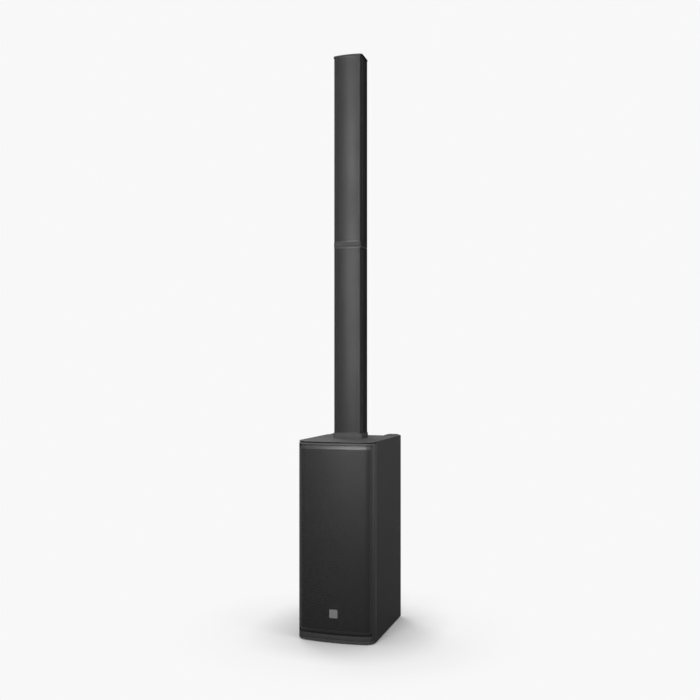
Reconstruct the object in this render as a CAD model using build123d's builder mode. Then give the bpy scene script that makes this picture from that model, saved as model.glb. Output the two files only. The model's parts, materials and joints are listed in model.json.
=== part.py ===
from build123d import *

import os
from math import atan2, cos, sin

# Column PA system: a powered bass cabinet that carries a two-section loudspeaker column.
# Frame: millimetres, +Z up, the front faces -Y, origin on the floor under the centre of the
# cabinet's footprint. Each block makes one separate piece and writes it to parts/.

os.makedirs("parts", exist_ok=True)

# ---------------------------------------------------------------- driving dimensions
# Cabinet
base_width = 246.0
base_depth = 352.0
base_top = 608.0  # top face above the floor
foot_height = 4.0
foot_radius = 14.0
foot_taper = 4.0  # degrees
foot_inset = 46.0  # foot centre inside the cabinet's front and rear
foot_side_inset = 34.0
wall = 12.0  # cabinet board
rear_corner_radius = 10.0
top_edge_radius = 1.5
front_corner_radius = 34.0
front_bow = 7.5  # how far the front bulges ahead of its rounded corners
bezel_depth = 43.0  # from the front of the bow back to the seam with the cabinet
seam = 0.6  # gap between moulded pieces
fit = 0.2  # clearance of a fixed piece in its seat
panel_hole_fit = 0.1  # clearance of a round body in the amplifier panel
lip_height = 7.0  # cabinet floor that shows under the bezel
visor = 1.8  # thin front edge of the cabinet top, over the bezel
visor_gap = 3.6  # dark seam between that edge and the bezel
visor_gap_depth = 5.0

# Front bezel and grille
rail_top = 5.5
rail_bottom = 13.0
rail_side = 7.0
shadow_gap = 1.2  # groove round the grille
grille_inset = 1.0  # the grille's face stands this far inside the bezel's outline
grille_sheet = 1.2
grille_border = 10.0  # folded edge of the grille, seen from the front
grille_fold = 6.0  # how far that folded edge falls back
ledge = 12.0  # width of the shelf that the grille stands on
ledge_depth = 12.0
foam_thickness = 4.0
foam_gap = 0.3
badge_size = 26.0
badge_thickness = 1.5
badge_corner = 3.0
badge_height = 89.0  # centre above the floor

# Woofers
baffle_thickness = 15.0
woofer_pitch = 200.0
lower_woofer_height = 196.0
woofer_radius = 83.0
woofer_cutout = 73.0
woofer_opening = 69.0  # inside of the frame at its flange
woofer_flange = 4.0
woofer_depth = 50.0
woofer_sheet = 3.0
woofer_back_radius = 50.0
woofer_window = 26.0  # openings round the basket
woofer_fixing_radius = 78.0
woofer_screws = 8
woofer_screw_turn = 22.5  # angle of the first screw
woofer_neck = 26.0  # depth of the cone's apex behind the baffle's face
woofer_surround_landing = 5.0
magnet_radius = 45.0
magnet_height = 30.0
magnet_plate = 6.0
magnet_gap_radius = 28.0
coil_radius = 17.4
coil_wall = 1.4
coil_gap = 0.8
coil_length = 36.0
cone_radius = 62.0
cone_sheet = 1.2
cone_edge_gap = 0.3
dust_cap_rise = 10.0

# Bass ports
port_radius = 30.0
port_wall = 2.5
port_length = 120.0
port_flange = 42.0
port_flange_thickness = 2.5
port_spacing = 108.0
port_height = 96.0

# Rear of the cabinet
rear_recess = 38.0  # rear board lies this far inside the side walls
amp_width = 196.0
amp_height = 334.0
amp_bottom = 198.0
amp_sheet = 2.5
amp_corner = 5.0
amp_margin = 11.0  # panel overlap on the rear board
amp_screw_rows = 4
grip_depth = 48.0
grip_thickness = 22.0
grip_dip = 5.0  # palm relief below the top
grip_shoulder = 2.5  # rounded shoulder above the top
grip_shoulder_inset = 17.0  # shoulder inside the cabinet's side
grip_shoulder_width = 26.0
grip_slope = 18.0  # from the shoulder down to the palm relief
grip_side_drop = 1.5
grip_rounding = 8.0
grip_corner = 3.0  # outer ends of the grip, seen from behind
grip_nose = 8.0  # turned-down edge that the fingers hook behind
grip_nose_thickness = 8.0
grip_nose_inset = 51.0
grip_tongue = 24.0  # tab under the cabinet top
grip_tongue_thickness = 8.0
grip_tongue_inset = 21.0
grip_screw_inset = 41.0

# Column
column_width = 94.0
column_depth = 70.0
column_setback = 137.0  # front of the base to front of the column
section_height = 606.0  # each section holds as many drivers as fit
column_corner = 8.0
column_bow = 4.0
column_wall = 2.5
column_rear_radius = 5.0
channel_width = 30.0  # shallow channel along each side of the column
channel_depth = 1.1
end_cap_height = 14.0
end_cap_chamfer = 1.0
end_cap_tongue = 8.0
top_cap_height = 5.0
top_cap_overhang = 1.2
column_rim = 4.0  # flange at the top of the lower section
column_grille_gap = 0.5
column_grille_corner = 7.0
column_grille_sheet = 1.2
collar_height = 16.0
collar_wall = 2.0
collar_clearance = 0.4
collar_flange = 2.0
spigot_width = 60.0
spigot_depth = 30.0
spigot_length = 50.0
spigot_lead_in = 2.0
spigot_clearance = 0.4
socket_wall = 3.0
well_floor = 4.0
well_relief = 2.0  # room under the spigot
contact_radius = 1.5
contact_clearance = 0.3
contact_height = 10.0
contact_pitch = 12.0
contact_count = 4

# Column drivers
driver_pitch = 64.0
driver_first = 54.0  # centre of the lowest driver above the section's foot
driver_last = 101.0  # least room from the highest driver's centre to the section's top
driver_flange = 60.0
driver_flange_thickness = 3.0
driver_flange_corner = 8.0
driver_cutout = 27.0
driver_opening = 25.0
driver_depth = 18.0
driver_sheet = 1.5
driver_back_radius = 19.5
driver_neck = 10.0
driver_magnet_radius = 18.0
driver_magnet_height = 16.0
driver_magnet_plate = 3.0
driver_gap_radius = 11.0
driver_coil_radius = 7.0
driver_coil_wall = 0.8
driver_coil_gap = 0.5
driver_coil_length = 14.0
driver_cone_radius = 21.0
driver_surround_landing = 2.0
driver_cone_sheet = 0.8
driver_dust_cap_rise = 5.0
column_baffle_thickness = 6.0
column_baffle_setback = 14.0  # front of the column to the baffle's face

# Screws
screw_radius = 1.5
screw_clearance = 0.1
screw_head_radius = 3.0
screw_head_height = 1.8
screw_length = 9.0
screw_recess_radius = 1.2

# Controls on the amplifier panel
knob_x = -62.0
knob_drop = 44.0  # below the panel's top edge
knob_radius = 12.0
knob_height = 15.0
knob_gap = 1.5  # room under the knob for its push travel
knob_skirt = 13.5
knob_skirt_height = 3.0
knob_flutes = 18
knob_flute_radius = 1.1
knob_bore_depth = 12.0
knob_taper = 3.0  # degrees
shaft_radius = 3.0
shaft_clearance = 0.05
encoder_size = 14.0
encoder_height = 9.0
encoder_back = 1.0
encoder_rest_gap = 1.2  # push travel left behind the plunger
plunger_radius = 2.6
plunger_height = 2.0
bushing_radius = 4.5
bushing_height = 2.0
bushing_clearance = 0.8
display_x = 28.0
display_drop = 42.0
display_width = 84.0
display_height = 36.0
display_glass = 3.2
display_border = 3.0
display_corner = 1.5
display_chamfer = 0.4
button_count = 4
button_pitch = 22.0
button_x = 28.0
button_drop = 84.0
button_width = 12.0
button_height = 6.0
button_stand = 2.2
button_clearance = 0.25
button_flange = 1.0
button_flange_lip = 1.5
button_stem = 4.0
button_corner = 1.0
button_chamfer = 0.5
control_board_width = 170.0
control_board_height = 84.0
control_board_drop = 56.0
board_thickness = 1.6

# Connectors on the amplifier panel
jack_x = [-66.0, -22.0]
link_x = 24.0
jack_drop = 134.0
jack_flange_width = 26.0
jack_flange_height = 31.0
jack_flange = 2.5
jack_flange_corner = 3.0
jack_body_radius = 12.0
jack_body_depth = 24.0
jack_bore_radius = 3.3
jack_bore_depth = 20.0
jack_pin_radius = 1.3
jack_pin_spread = 7.6
pin_count = 3
pin_turn = 90.0  # angle of the first pin
jack_screw_x = 10.0
jack_screw_z = 12.5
link_cavity_radius = 8.5
link_cavity_depth = 16.0
link_pin_radius = 1.2
link_pin_spread = 5.2
link_pin_length = 11.0
aux_x = 66.0
aux_drop = 10.0  # below the jacks
aux_bore_radius = 1.8
aux_bore_depth = 14.0
aux_barrel_radius = 3.0
aux_nut_radius = 5.0
aux_nut_height = 2.0
aux_nut_sides = 6
aux_body = 12.0
phono_x = 66.0
phono_rise = 12.0  # above the jacks
phono_pitch = 16.0
phono_radius = 4.0
phono_bore = 1.7
phono_stand = 8.0
phono_body = 11.0
phono_body_radius = 3.0
phono_ring = 1.5  # width and height of the ring on the panel
sink_width = 176.0
sink_jack_gap = 28.5  # heat sink to the jacks above it
sink_base = 3.0
sink_fin = 16.0
sink_fin_thickness = 2.0
sink_fin_count = 17
sink_rise = 84.0  # its lower end above the panel's bottom edge
inlet_x = -50.0
power_rise = 38.0
inlet_width = 50.0
inlet_height = 28.0
inlet_flange = 2.5
inlet_corner = 4.0
inlet_body_width = 31.0
inlet_body_height = 23.0
inlet_body_depth = 22.0
inlet_cavity_width = 25.0
inlet_cavity_height = 17.0
inlet_cavity_depth = 16.0
inlet_pin_length = 10.0
inlet_pin_width = 2.0
inlet_pin_height = 4.0
inlet_pin_pitch = 7.0
inlet_pin_drop = 2.0
switch_x = 14.0
switch_width = 22.0
switch_height = 28.0
switch_corner = 2.0
switch_flange = 2.0
switch_body_width = 18.0
switch_body_height = 23.0
switch_body_depth = 20.0
rocker_radius = 9.0
rocker_face = 4.0  # flat of the rocker from its pivot
rocker_width = 13.0
rocker_clearance = 0.35
rocker_throw = 20.0  # degrees from off to on
fuse_x = 62.0
fuse_radius = 8.0
fuse_stand = 7.0
fuse_body_radius = 6.0
fuse_body_depth = 24.0
fuse_slot = 1.6
fuse_slot_length = 10.4
fuse_slot_depth = 2.0
fuse_chamfer = 1.0
amp_board_width = 160.0
amp_board_rise = 24.0
amp_board_drop = 110.0
amp_board_gap = 30.0  # panel to circuit board
transformer_radius = 36.0
transformer_hole = 12.0
transformer_height = 34.0
transformer_rounding = 5.0
transformer_rise = 72.0
capacitor_radius = 11.0
capacitor_height = 36.0
capacitor_pitch = 26.0
capacitor_columns = 4
capacitor_rows = 2
capacitor_rise = 152.0
standoff_radius = 3.5
standoff_inset = 6.0
brace_height = 12.0
brace_window_width = 130.0
brace_rim = 22.0
brace_back_gap = 12.0

# ---------------------------------------------------------------- places worked out
front_y = -base_depth / 2
rear_y = base_depth / 2
half_width = base_width / 2
inner_half = half_width - wall
floor_top = foot_height + wall
ceiling_z = base_top - wall
seam_y = front_y + bezel_depth
baffle_back = seam_y + baffle_thickness
rear_board_face = rear_y - rear_recess
rear_board_inner = rear_board_face - wall
panel_face = rear_board_face + amp_sheet
panel_top = amp_bottom + amp_height
panel_z = amp_bottom + amp_height / 2
knob_z = panel_top - knob_drop
display_z = panel_top - display_drop
button_z = panel_top - button_drop
control_board_z = panel_top - control_board_drop
jack_z = panel_top - jack_drop
aux_z = jack_z - aux_drop
phono_z = jack_z + phono_rise
sink_bottom = amp_bottom + sink_rise
sink_top = jack_z - jack_flange_height / 2 - sink_jack_gap
power_z = amp_bottom + power_rise
amp_board_height = amp_height - amp_board_rise - amp_board_drop
amp_board_z = amp_bottom + amp_board_rise + amp_board_height / 2
transformer_z = amp_bottom + transformer_rise
capacitor_z = amp_bottom + capacitor_rise
grip_front = rear_y - grip_depth
grip_bottom = base_top - grip_thickness
column_front = front_y + column_setback
column_rear = column_front + column_depth
column_y = (column_front + column_rear) / 2
column_bottom = base_top + collar_flange
joint_z = column_bottom + section_height
column_top = joint_z + section_height
grip_screw_pitch = 2 * (half_width - grip_screw_inset)
housing_front = column_front + column_corner + column_bow
column_half_inside = column_width / 2 - column_wall
column_rear_inside = column_rear - column_wall
column_baffle_face = column_front + column_baffle_setback
column_baffle_back = column_baffle_face + column_baffle_thickness
woofer_heights = [lower_woofer_height, lower_woofer_height + woofer_pitch]
port_places = [(-port_spacing / 2, port_height), (port_spacing / 2, port_height)]
driver_count = int((section_height - driver_first - driver_last) / driver_pitch) + 1
screw_hole = screw_radius + screw_clearance
tongue_front = column_baffle_back + fit
tongue_rear = column_rear_inside - fit
tongue_half = column_half_inside - fit
spigot_y = (tongue_front + tongue_rear) / 2

base_plan = (half_width, front_corner_radius, front_bow, front_y)
column_plan = (column_width / 2, column_corner, column_bow, column_front)
column_grille_plan = (
    column_half_inside - column_grille_gap,
    column_grille_corner,
    column_bow,
    column_front,
)


# ---------------------------------------------------------------- shared construction
def save(piece, name):
    piece.part.label = name
    export_step(piece.part, f"parts/{name}.step")


def facing_front(y):
    """XZ plane at y. Its extrusion goes towards -Y, the front."""
    return Plane.XZ.offset(-y)


def facing_rear(y):
    """XZ plane at y whose extrusion goes towards +Y. Its sketch X still runs along +X."""
    return Plane(origin=(0, y, 0), x_dir=(1, 0, 0), z_dir=(0, 1, 0))


def on_rear(x, z):
    """Sketch point of world (x, z) on a facing_rear plane, whose sketch Y runs down."""
    return (x, -z)


def bowed_block(plan, inset, back, bottom, top):
    """Solid with a bowed front and rounded front corners, drawn inset from plan, cut at y = back.

    plan is the half width, corner radius, bulge of the bow and the y of its foremost point.
    """
    full_half, full_corner, bow, full_front = plan
    half = full_half - inset
    corner = full_corner - inset
    front = full_front + inset
    corner_x = half - corner
    reach = corner + bow
    corner_y = front + reach
    radius = (corner_x**2 + reach**2 - corner**2) / (2 * bow)
    lean = atan2(front + radius - corner_y, corner_x)
    meet = (corner_x + corner * cos(lean), corner_y - corner * sin(lean))
    middle = (corner_x + corner * cos(lean / 2), corner_y - corner * sin(lean / 2))
    far = corner_y + base_depth
    with BuildPart() as block:
        with BuildSketch(Plane.XY.offset(bottom)):
            with BuildLine():
                Line((-half, far), (-half, corner_y))
                ThreePointArc((-half, corner_y), (-middle[0], middle[1]), (-meet[0], meet[1]))
                ThreePointArc((-meet[0], meet[1]), (0, front), meet)
                ThreePointArc(meet, middle, (half, corner_y))
                Line((half, corner_y), (half, far))
                Line((half, far), (-half, far))
            make_face()
            with Locations((0, (front + back) / 2)):
                Rectangle(2 * half, back - front, mode=Mode.INTERSECT)
        extrude(amount=top - bottom)
    return block.part


def rounded_block(plan, inset, back, radius, bottom, top):
    """Bowed block whose two rear upright edges are rounded."""
    with BuildPart() as block:
        add(bowed_block(plan, inset, back, bottom, top))
        fillet(block.edges().filter_by(Axis.Z).group_by(Axis.Y)[-1], radius)
    return block.part


def turned(x, y, z, points):
    """Solid turned about the line along Y through (x, z); points are (radius, depth behind y)."""
    with BuildPart() as solid:
        with BuildSketch(Plane(origin=(x, y, z), x_dir=(1, 0, 0), z_dir=(0, 0, 1))):
            with BuildLine():
                Polyline(*points, close=True)
            make_face()
        revolve(axis=Axis((x, y, z), (0, 1, 0)))
    return solid.part


def screw(plane):
    """Screw whose head sits on plane, with the shank below it."""
    with BuildPart() as solid:
        with BuildSketch(plane):
            Circle(screw_head_radius)
        extrude(amount=screw_head_height)
        with BuildSketch(plane):
            Circle(screw_radius)
        extrude(amount=-screw_length)
        with BuildSketch(plane.offset(screw_head_height)):
            Circle(screw_recess_radius)
        extrude(amount=-screw_head_height / 2, mode=Mode.SUBTRACT)
    return solid.part


def rear_screw(x, y, z):
    return screw(Plane(origin=(x, y, z), x_dir=(1, 0, 0), z_dir=(0, 1, 0)))


def cone_points(radius, sheet, flange, neck, rise, coil, coil_wall_thickness, length):
    """Section of a cone with its dust cap and coil former, from the baffle's face."""
    outer = coil + coil_wall_thickness
    return [
        (0, neck - rise),
        (outer, neck - 1.5 * sheet),
        (radius, -flange - sheet),
        (radius, -flange),
        (outer, neck),
        (outer, neck + length),
        (coil, neck + length),
        (coil, neck - 0.3 * sheet),
        (0, neck - rise + sheet),
    ]


def basket_points(opening, cutout, flange, depth, sheet, back_radius, hole):
    """Section of a loudspeaker basket: flange ring, sloping wall and back plate."""
    outer = cutout - 2 * fit
    return [
        (opening, -flange),
        (outer, -flange),
        (outer, 0),
        (back_radius, depth - sheet),
        (back_radius, depth),
        (hole, depth),
        (hole, depth - sheet),
        (back_radius - sheet, depth - sheet),
        (opening, 0),
    ]


def magnet_points(depth, radius, height, plate, inner, coil, coil_wall_thickness, gap):
    """Section of a magnet system: pole, ring gap, top plate, ring magnet and back plate."""
    pole = coil - gap
    mouth = coil + coil_wall_thickness + gap
    rim = radius - plate / 2
    return [
        (0, depth),
        (pole, depth),
        (pole, depth + height - plate),
        (inner, depth + height - plate),
        (inner, depth + plate),
        (mouth, depth + plate),
        (mouth, depth),
        (rim, depth),
        (rim, depth + plate),
        (radius, depth + plate),
        (radius, depth + height - plate),
        (rim, depth + height - plate),
        (rim, depth + height),
        (0, depth + height),
    ]


def surround(x, y, z, inner, outer, flange, sheet, landing):
    """Half-roll surround from the cone's edge out to its landing on the frame."""
    middle = (inner + outer) / 2
    roll = (outer - inner) / 2
    with BuildPart() as solid:
        with BuildSketch(Plane(origin=(x, y, z), x_dir=(1, 0, 0), z_dir=(0, 0, 1))):
            with Locations((middle, -flange)):
                Circle(roll)
                Circle(roll - sheet, mode=Mode.SUBTRACT)
            with Locations((middle, -flange + roll / 2)):
                Rectangle(2 * roll, roll, mode=Mode.SUBTRACT)
            with Locations((outer + (landing - sheet) / 2, -flange - sheet / 2)):
                Rectangle(landing + sheet, sheet)
        revolve(axis=Axis((x, y, z), (0, 1, 0)))
    return solid.part


# ---------------------------------------------------------------- cabinet
with BuildPart() as cabinet_shell:
    with BuildSketch(Plane.XY.offset(foot_height)):
        with Locations((0, (seam_y + rear_y) / 2)):
            Rectangle(base_width, rear_y - seam_y)
    extrude(amount=base_top - foot_height)
    add(bowed_block(base_plan, 0, seam_y, base_top - visor, base_top))
    add(bowed_block(base_plan, 0, seam_y, foot_height, foot_height + lip_height))
    fillet(cabinet_shell.edges().filter_by(Axis.Z).group_by(Axis.Y)[-1], rear_corner_radius)
    fillet(cabinet_shell.edges().group_by(Axis.Z)[-1], top_edge_radius)
    with BuildSketch(facing_front(rear_y)):
        with Locations((0, (floor_top + ceiling_z) / 2)):
            Rectangle(2 * inner_half, ceiling_z - floor_top)
    extrude(amount=rear_y - seam_y, mode=Mode.SUBTRACT)
    # the rear edge of the top is cut away for the grip
    with BuildSketch(Plane.XY.offset(grip_bottom)):
        with Locations((0, (grip_front + rear_y) / 2)):
            Rectangle(base_width, grip_depth)
    extrude(amount=grip_thickness, mode=Mode.SUBTRACT)
    # mouth for the column socket
    mouth_margin = 2 * (spigot_clearance + socket_wall + fit)
    with BuildSketch(Plane.XY.offset(ceiling_z)):
        with Locations((0, spigot_y)):
            Rectangle(spigot_width + mouth_margin, spigot_depth + mouth_margin)
    extrude(amount=wall, mode=Mode.SUBTRACT)
    # pilot holes for the grip's screws
    with BuildSketch(Plane.XY.offset(ceiling_z)):
        with Locations((0, grip_front - grip_tongue / 2)):
            with GridLocations(grip_screw_pitch, 0, 2, 1):
                Circle(screw_hole)
    extrude(amount=wall / 2, mode=Mode.SUBTRACT)
save(cabinet_shell, "cabinet_shell")

with BuildPart() as front_baffle:
    with BuildSketch(facing_front(baffle_back)):
        with Locations((0, (floor_top + ceiling_z) / 2)):
            Rectangle(2 * (inner_half - fit), ceiling_z - floor_top - 2 * fit)
        for height in woofer_heights:
            with Locations((0, height)):
                Circle(woofer_cutout, mode=Mode.SUBTRACT)
                with PolarLocations(woofer_fixing_radius, woofer_screws, woofer_screw_turn):
                    Circle(screw_hole, mode=Mode.SUBTRACT)
    extrude(amount=baffle_thickness)
save(front_baffle, "front_baffle")

brace_z = lower_woofer_height + woofer_pitch / 2
board_y = rear_board_face - amp_board_gap - board_thickness  # front face of the amplifier board
brace_back = board_y - transformer_height - brace_back_gap
with BuildPart() as brace_board:
    with BuildSketch(Plane.XY.offset(brace_z - brace_height / 2)):
        with Locations((0, (baffle_back + brace_back) / 2)):
            Rectangle(2 * (inner_half - fit), brace_back - baffle_back)
            Rectangle(
                brace_window_width, brace_back - baffle_back - 2 * brace_rim, mode=Mode.SUBTRACT
            )
    extrude(amount=brace_height)
save(brace_board, "brace_board")

panel_screw_pitch_x = amp_width - amp_margin
panel_screw_pitch_z = (amp_height - amp_margin) / (amp_screw_rows - 1)
with BuildPart() as rear_board:
    board_top = grip_bottom - fit
    with BuildSketch(facing_front(rear_board_face)):
        with Locations((0, (floor_top + fit + board_top) / 2)):
            Rectangle(2 * (inner_half - fit), board_top - floor_top - fit)
        with Locations((0, panel_z)):
            Rectangle(
                amp_width - 2 * amp_margin, amp_height - 2 * amp_margin, mode=Mode.SUBTRACT
            )
            with GridLocations(panel_screw_pitch_x, panel_screw_pitch_z, 2, amp_screw_rows):
                Circle(screw_hole, mode=Mode.SUBTRACT)
        with Locations(port_places):
            Circle(port_radius + port_wall + fit, mode=Mode.SUBTRACT)
    extrude(amount=wall)
save(rear_board, "rear_board")

# ---------------------------------------------------------------- bezel, grille and badge
bezel_bottom = foot_height + lip_height + seam
bezel_top = base_top - visor - visor_gap
window_bottom = bezel_bottom + rail_bottom
window_top = bezel_top - rail_top
window_half = half_width - rail_side
window_z = (window_bottom + window_top) / 2
window_height = window_top - window_bottom
grille_half = window_half - shadow_gap
grille_bottom = window_bottom + shadow_gap
grille_top = window_top - shadow_gap
ledge_face = seam_y - seam - ledge_depth

with BuildPart() as front_bezel:
    add(bowed_block(base_plan, 0, seam_y - seam, bezel_bottom, bezel_top))
    fillet(front_bezel.edges().group_by(Axis.Z)[-1].group_by(Axis.Y)[:-1], top_edge_radius)
    # raised inner strip that closes the seam under the cabinet's top
    strip_top = base_top - visor - fit
    add(bowed_block(base_plan, visor_gap_depth, seam_y - seam, bezel_top, strip_top))
    with BuildSketch(facing_front(ledge_face)):
        with Locations((0, window_z)):
            Rectangle(2 * window_half, window_height)
    extrude(amount=bezel_depth, mode=Mode.SUBTRACT)
    with BuildSketch(facing_front(seam_y)):
        with Locations((0, window_z)):
            Rectangle(2 * (window_half - ledge), window_height - 2 * ledge)
    extrude(amount=bezel_depth, mode=Mode.SUBTRACT)
save(front_bezel, "front_bezel")


def grille_pan(shrink, back):
    """Bowed block with the grille's folded borders, made smaller by shrink all round."""
    with BuildPart() as pan:
        add(
            bowed_block(
                base_plan, grille_inset + shrink, back, grille_bottom + shrink, grille_top - shrink
            )
        )
        with BuildSketch(facing_front(back)):
            with Locations((0, window_z)):
                Rectangle(2 * (grille_half - shrink), base_top)
        extrude(amount=bezel_depth, mode=Mode.INTERSECT)
        for end in (Axis.Z, -Axis.Z):
            face = pan.faces().filter_by(Plane.XY).sort_by(end)[-1]
            rim = face.edges().filter_by(GeomType.CIRCLE)
            chamfer(rim, grille_fold, grille_border, reference=face)
    return pan.part


with BuildPart() as base_grille:
    add(grille_pan(0, ledge_face - fit))
    add(grille_pan(grille_sheet, ledge_face - fit), mode=Mode.SUBTRACT)
save(base_grille, "base_grille")

foam_front = grille_sheet + foam_gap
with BuildPart() as grille_foam:
    add(grille_pan(foam_front, ledge_face - fit))
    add(grille_pan(foam_front + foam_thickness, ledge_face - fit), mode=Mode.SUBTRACT)
save(grille_foam, "grille_foam")

with BuildPart() as badge_plate:
    with BuildSketch(facing_front(front_y + badge_thickness)):
        with Locations((0, badge_height)):
            RectangleRounded(badge_size, badge_size, badge_corner)
    extrude(amount=badge_thickness)
    add(bowed_block(base_plan, grille_inset, seam_y, 0, base_top), mode=Mode.SUBTRACT)
save(badge_plate, "badge_plate")

# ---------------------------------------------------------------- woofers
frame_hole = magnet_gap_radius - coil_gap
woofer_basket = basket_points(
    woofer_opening,
    woofer_cutout,
    woofer_flange,
    woofer_depth,
    woofer_sheet,
    woofer_back_radius,
    frame_hole,
)
woofer_magnet = magnet_points(
    woofer_depth,
    magnet_radius,
    magnet_height,
    magnet_plate,
    magnet_gap_radius,
    coil_radius,
    coil_wall,
    coil_gap,
)
woofer_cone = cone_points(
    cone_radius,
    cone_sheet,
    woofer_flange,
    woofer_neck,
    dust_cap_rise,
    coil_radius,
    coil_wall,
    coil_length,
)

with BuildPart() as woofer_frames:
    for height in woofer_heights:
        add(turned(0, seam_y, height, woofer_basket))
    for height in woofer_heights:
        with BuildSketch(facing_front(seam_y)):
            with Locations((0, height)):
                Circle(woofer_radius)
                Circle(woofer_opening, mode=Mode.SUBTRACT)
                with PolarLocations(woofer_fixing_radius, woofer_screws, woofer_screw_turn):
                    Circle(screw_hole, mode=Mode.SUBTRACT)
        extrude(amount=woofer_flange)
        for turn in (0, 90):
            window_plane = Plane(
                origin=(0, seam_y + woofer_depth / 2, height),
                x_dir=(0, 1, 0),
                z_dir=Vector(1, 0, 0).rotate(Axis.Y, turn),
            )
            with BuildSketch(window_plane):
                Rectangle(woofer_window, woofer_back_radius)
            extrude(amount=woofer_radius, both=True, mode=Mode.SUBTRACT)
save(woofer_frames, "woofer_frames")

with BuildPart() as woofer_surrounds:
    for height in woofer_heights:
        add(
            surround(
                0,
                seam_y,
                height,
                cone_radius + cone_edge_gap,
                woofer_opening,
                woofer_flange,
                cone_sheet,
                woofer_surround_landing,
            )
        )
save(woofer_surrounds, "woofer_surrounds")

with BuildPart() as woofer_magnets:
    for height in woofer_heights:
        add(turned(0, seam_y, height, woofer_magnet))
save(woofer_magnets, "woofer_magnets")

with BuildPart() as lower_woofer_cone:
    add(turned(0, seam_y, woofer_heights[0], woofer_cone))
save(lower_woofer_cone, "lower_woofer_cone")

with BuildPart() as upper_woofer_cone:
    add(turned(0, seam_y, woofer_heights[1], woofer_cone))
save(upper_woofer_cone, "upper_woofer_cone")

with BuildPart() as bass_ports:
    for x, z in port_places:
        add(
            turned(
                x,
                rear_board_face,
                z,
                [
                    (port_radius, -port_length),
                    (port_radius + port_wall, -port_length),
                    (port_radius + port_wall, 0),
                    (port_flange, 0),
                    (port_flange, port_flange_thickness),
                    (port_radius, port_flange_thickness),
                ],
            )
        )
save(bass_ports, "bass_ports")

# ---------------------------------------------------------------- feet, grip and column socket
with BuildPart() as rubber_feet:
    with BuildSketch(Plane.XY):
        with GridLocations(base_width - 2 * foot_side_inset, base_depth - 2 * foot_inset, 2, 2):
            Circle(foot_radius)
    extrude(amount=foot_height, taper=foot_taper)
save(rubber_feet, "rubber_feet")

shoulder_outer = half_width - grip_shoulder_inset
with BuildPart() as rear_grip:
    top_line = [
        (half_width, base_top - grip_side_drop),
        (shoulder_outer, base_top + grip_shoulder),
        (shoulder_outer - grip_shoulder_width, base_top + grip_shoulder),
        (shoulder_outer - grip_shoulder_width - grip_slope, base_top - grip_dip),
    ]
    with BuildSketch(facing_front(rear_y)) as grip_outline:
        with BuildLine():
            Polyline(
                (-half_width, grip_bottom),
                (half_width, grip_bottom),
                *top_line,
                *[(-x, z) for x, z in reversed(top_line)],
                close=True,
            )
        make_face()
        above = grip_outline.vertices().filter_by(lambda v: v.Y > grip_bottom + fit)
        fillet(above.filter_by(lambda v: abs(v.X) < half_width - fit), grip_rounding)
        fillet(above.filter_by(lambda v: abs(v.X) > half_width - fit), grip_corner)
    extrude(amount=grip_depth - seam)
    fillet(rear_grip.edges().filter_by(Axis.Z).group_by(Axis.Y)[-1], rear_corner_radius)
    # turned-down rear edge
    with BuildSketch(facing_front(rear_y)):
        with Locations((0, grip_bottom - grip_nose / 2)):
            Rectangle(2 * (half_width - grip_nose_inset), grip_nose)
    extrude(amount=grip_nose_thickness)
    # tab under the cabinet top
    with BuildSketch(Plane.XY.offset(ceiling_z - grip_tongue_thickness)):
        with Locations((0, grip_front - grip_tongue / 2 + seam / 2)):
            Rectangle(2 * (half_width - grip_tongue_inset), grip_tongue + seam)
        with Locations((0, grip_front - grip_tongue / 2)):
            with GridLocations(grip_screw_pitch, 0, 2, 1):
                Circle(screw_hole, mode=Mode.SUBTRACT)
    extrude(amount=grip_tongue_thickness)
save(rear_grip, "rear_grip")

mouth_half_x = spigot_width / 2 + spigot_clearance
mouth_half_y = spigot_depth / 2 + spigot_clearance
contact_span = contact_pitch * (contact_count - 1)


def spigot_well(rim):
    """Solid that fills the space a spigot drops into below rim."""
    with BuildPart() as well:
        with BuildSketch(Plane.XY.offset(rim - spigot_length - well_relief)):
            with Locations((0, spigot_y)):
                Rectangle(2 * mouth_half_x, 2 * mouth_half_y)
        extrude(amount=spigot_length + well_relief)
    return well.part


def contact_pins(rim):
    """Row of contact pins that stand on the floor of a well."""
    with BuildPart() as pins:
        with BuildSketch(Plane.XY.offset(rim - spigot_length - well_relief)):
            with Locations((0, spigot_y)):
                with GridLocations(contact_pitch, 0, contact_count, 1):
                    Circle(contact_radius)
        extrude(amount=contact_height)
        fillet(pins.edges().group_by(Axis.Z)[-1], contact_radius / 2)
    return pins.part


with BuildPart() as column_socket:
    collar_inset = -(collar_clearance + collar_wall)
    collar_back = column_rear - collar_inset
    collar_radius = column_rear_radius - collar_inset
    collar_top = base_top + collar_height
    add(rounded_block(column_plan, collar_inset, collar_back, collar_radius, base_top, collar_top))
    chamfer(column_socket.edges().group_by(Axis.Z)[-1], collar_wall / 3)
    add(
        rounded_block(
            column_plan,
            -collar_clearance,
            column_rear + collar_clearance,
            column_rear_radius + collar_clearance,
            column_bottom,
            collar_top,
        ),
        mode=Mode.SUBTRACT,
    )
    with BuildSketch(Plane.XY.offset(column_bottom - spigot_length - well_relief - well_floor)):
        with Locations((0, spigot_y)):
            Rectangle(2 * (mouth_half_x + socket_wall), 2 * (mouth_half_y + socket_wall))
    extrude(amount=spigot_length + well_relief + well_floor)
    add(spigot_well(column_bottom), mode=Mode.SUBTRACT)
save(column_socket, "column_socket")

with BuildPart() as base_contacts:
    add(contact_pins(column_bottom))
save(base_contacts, "base_contacts")

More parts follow.
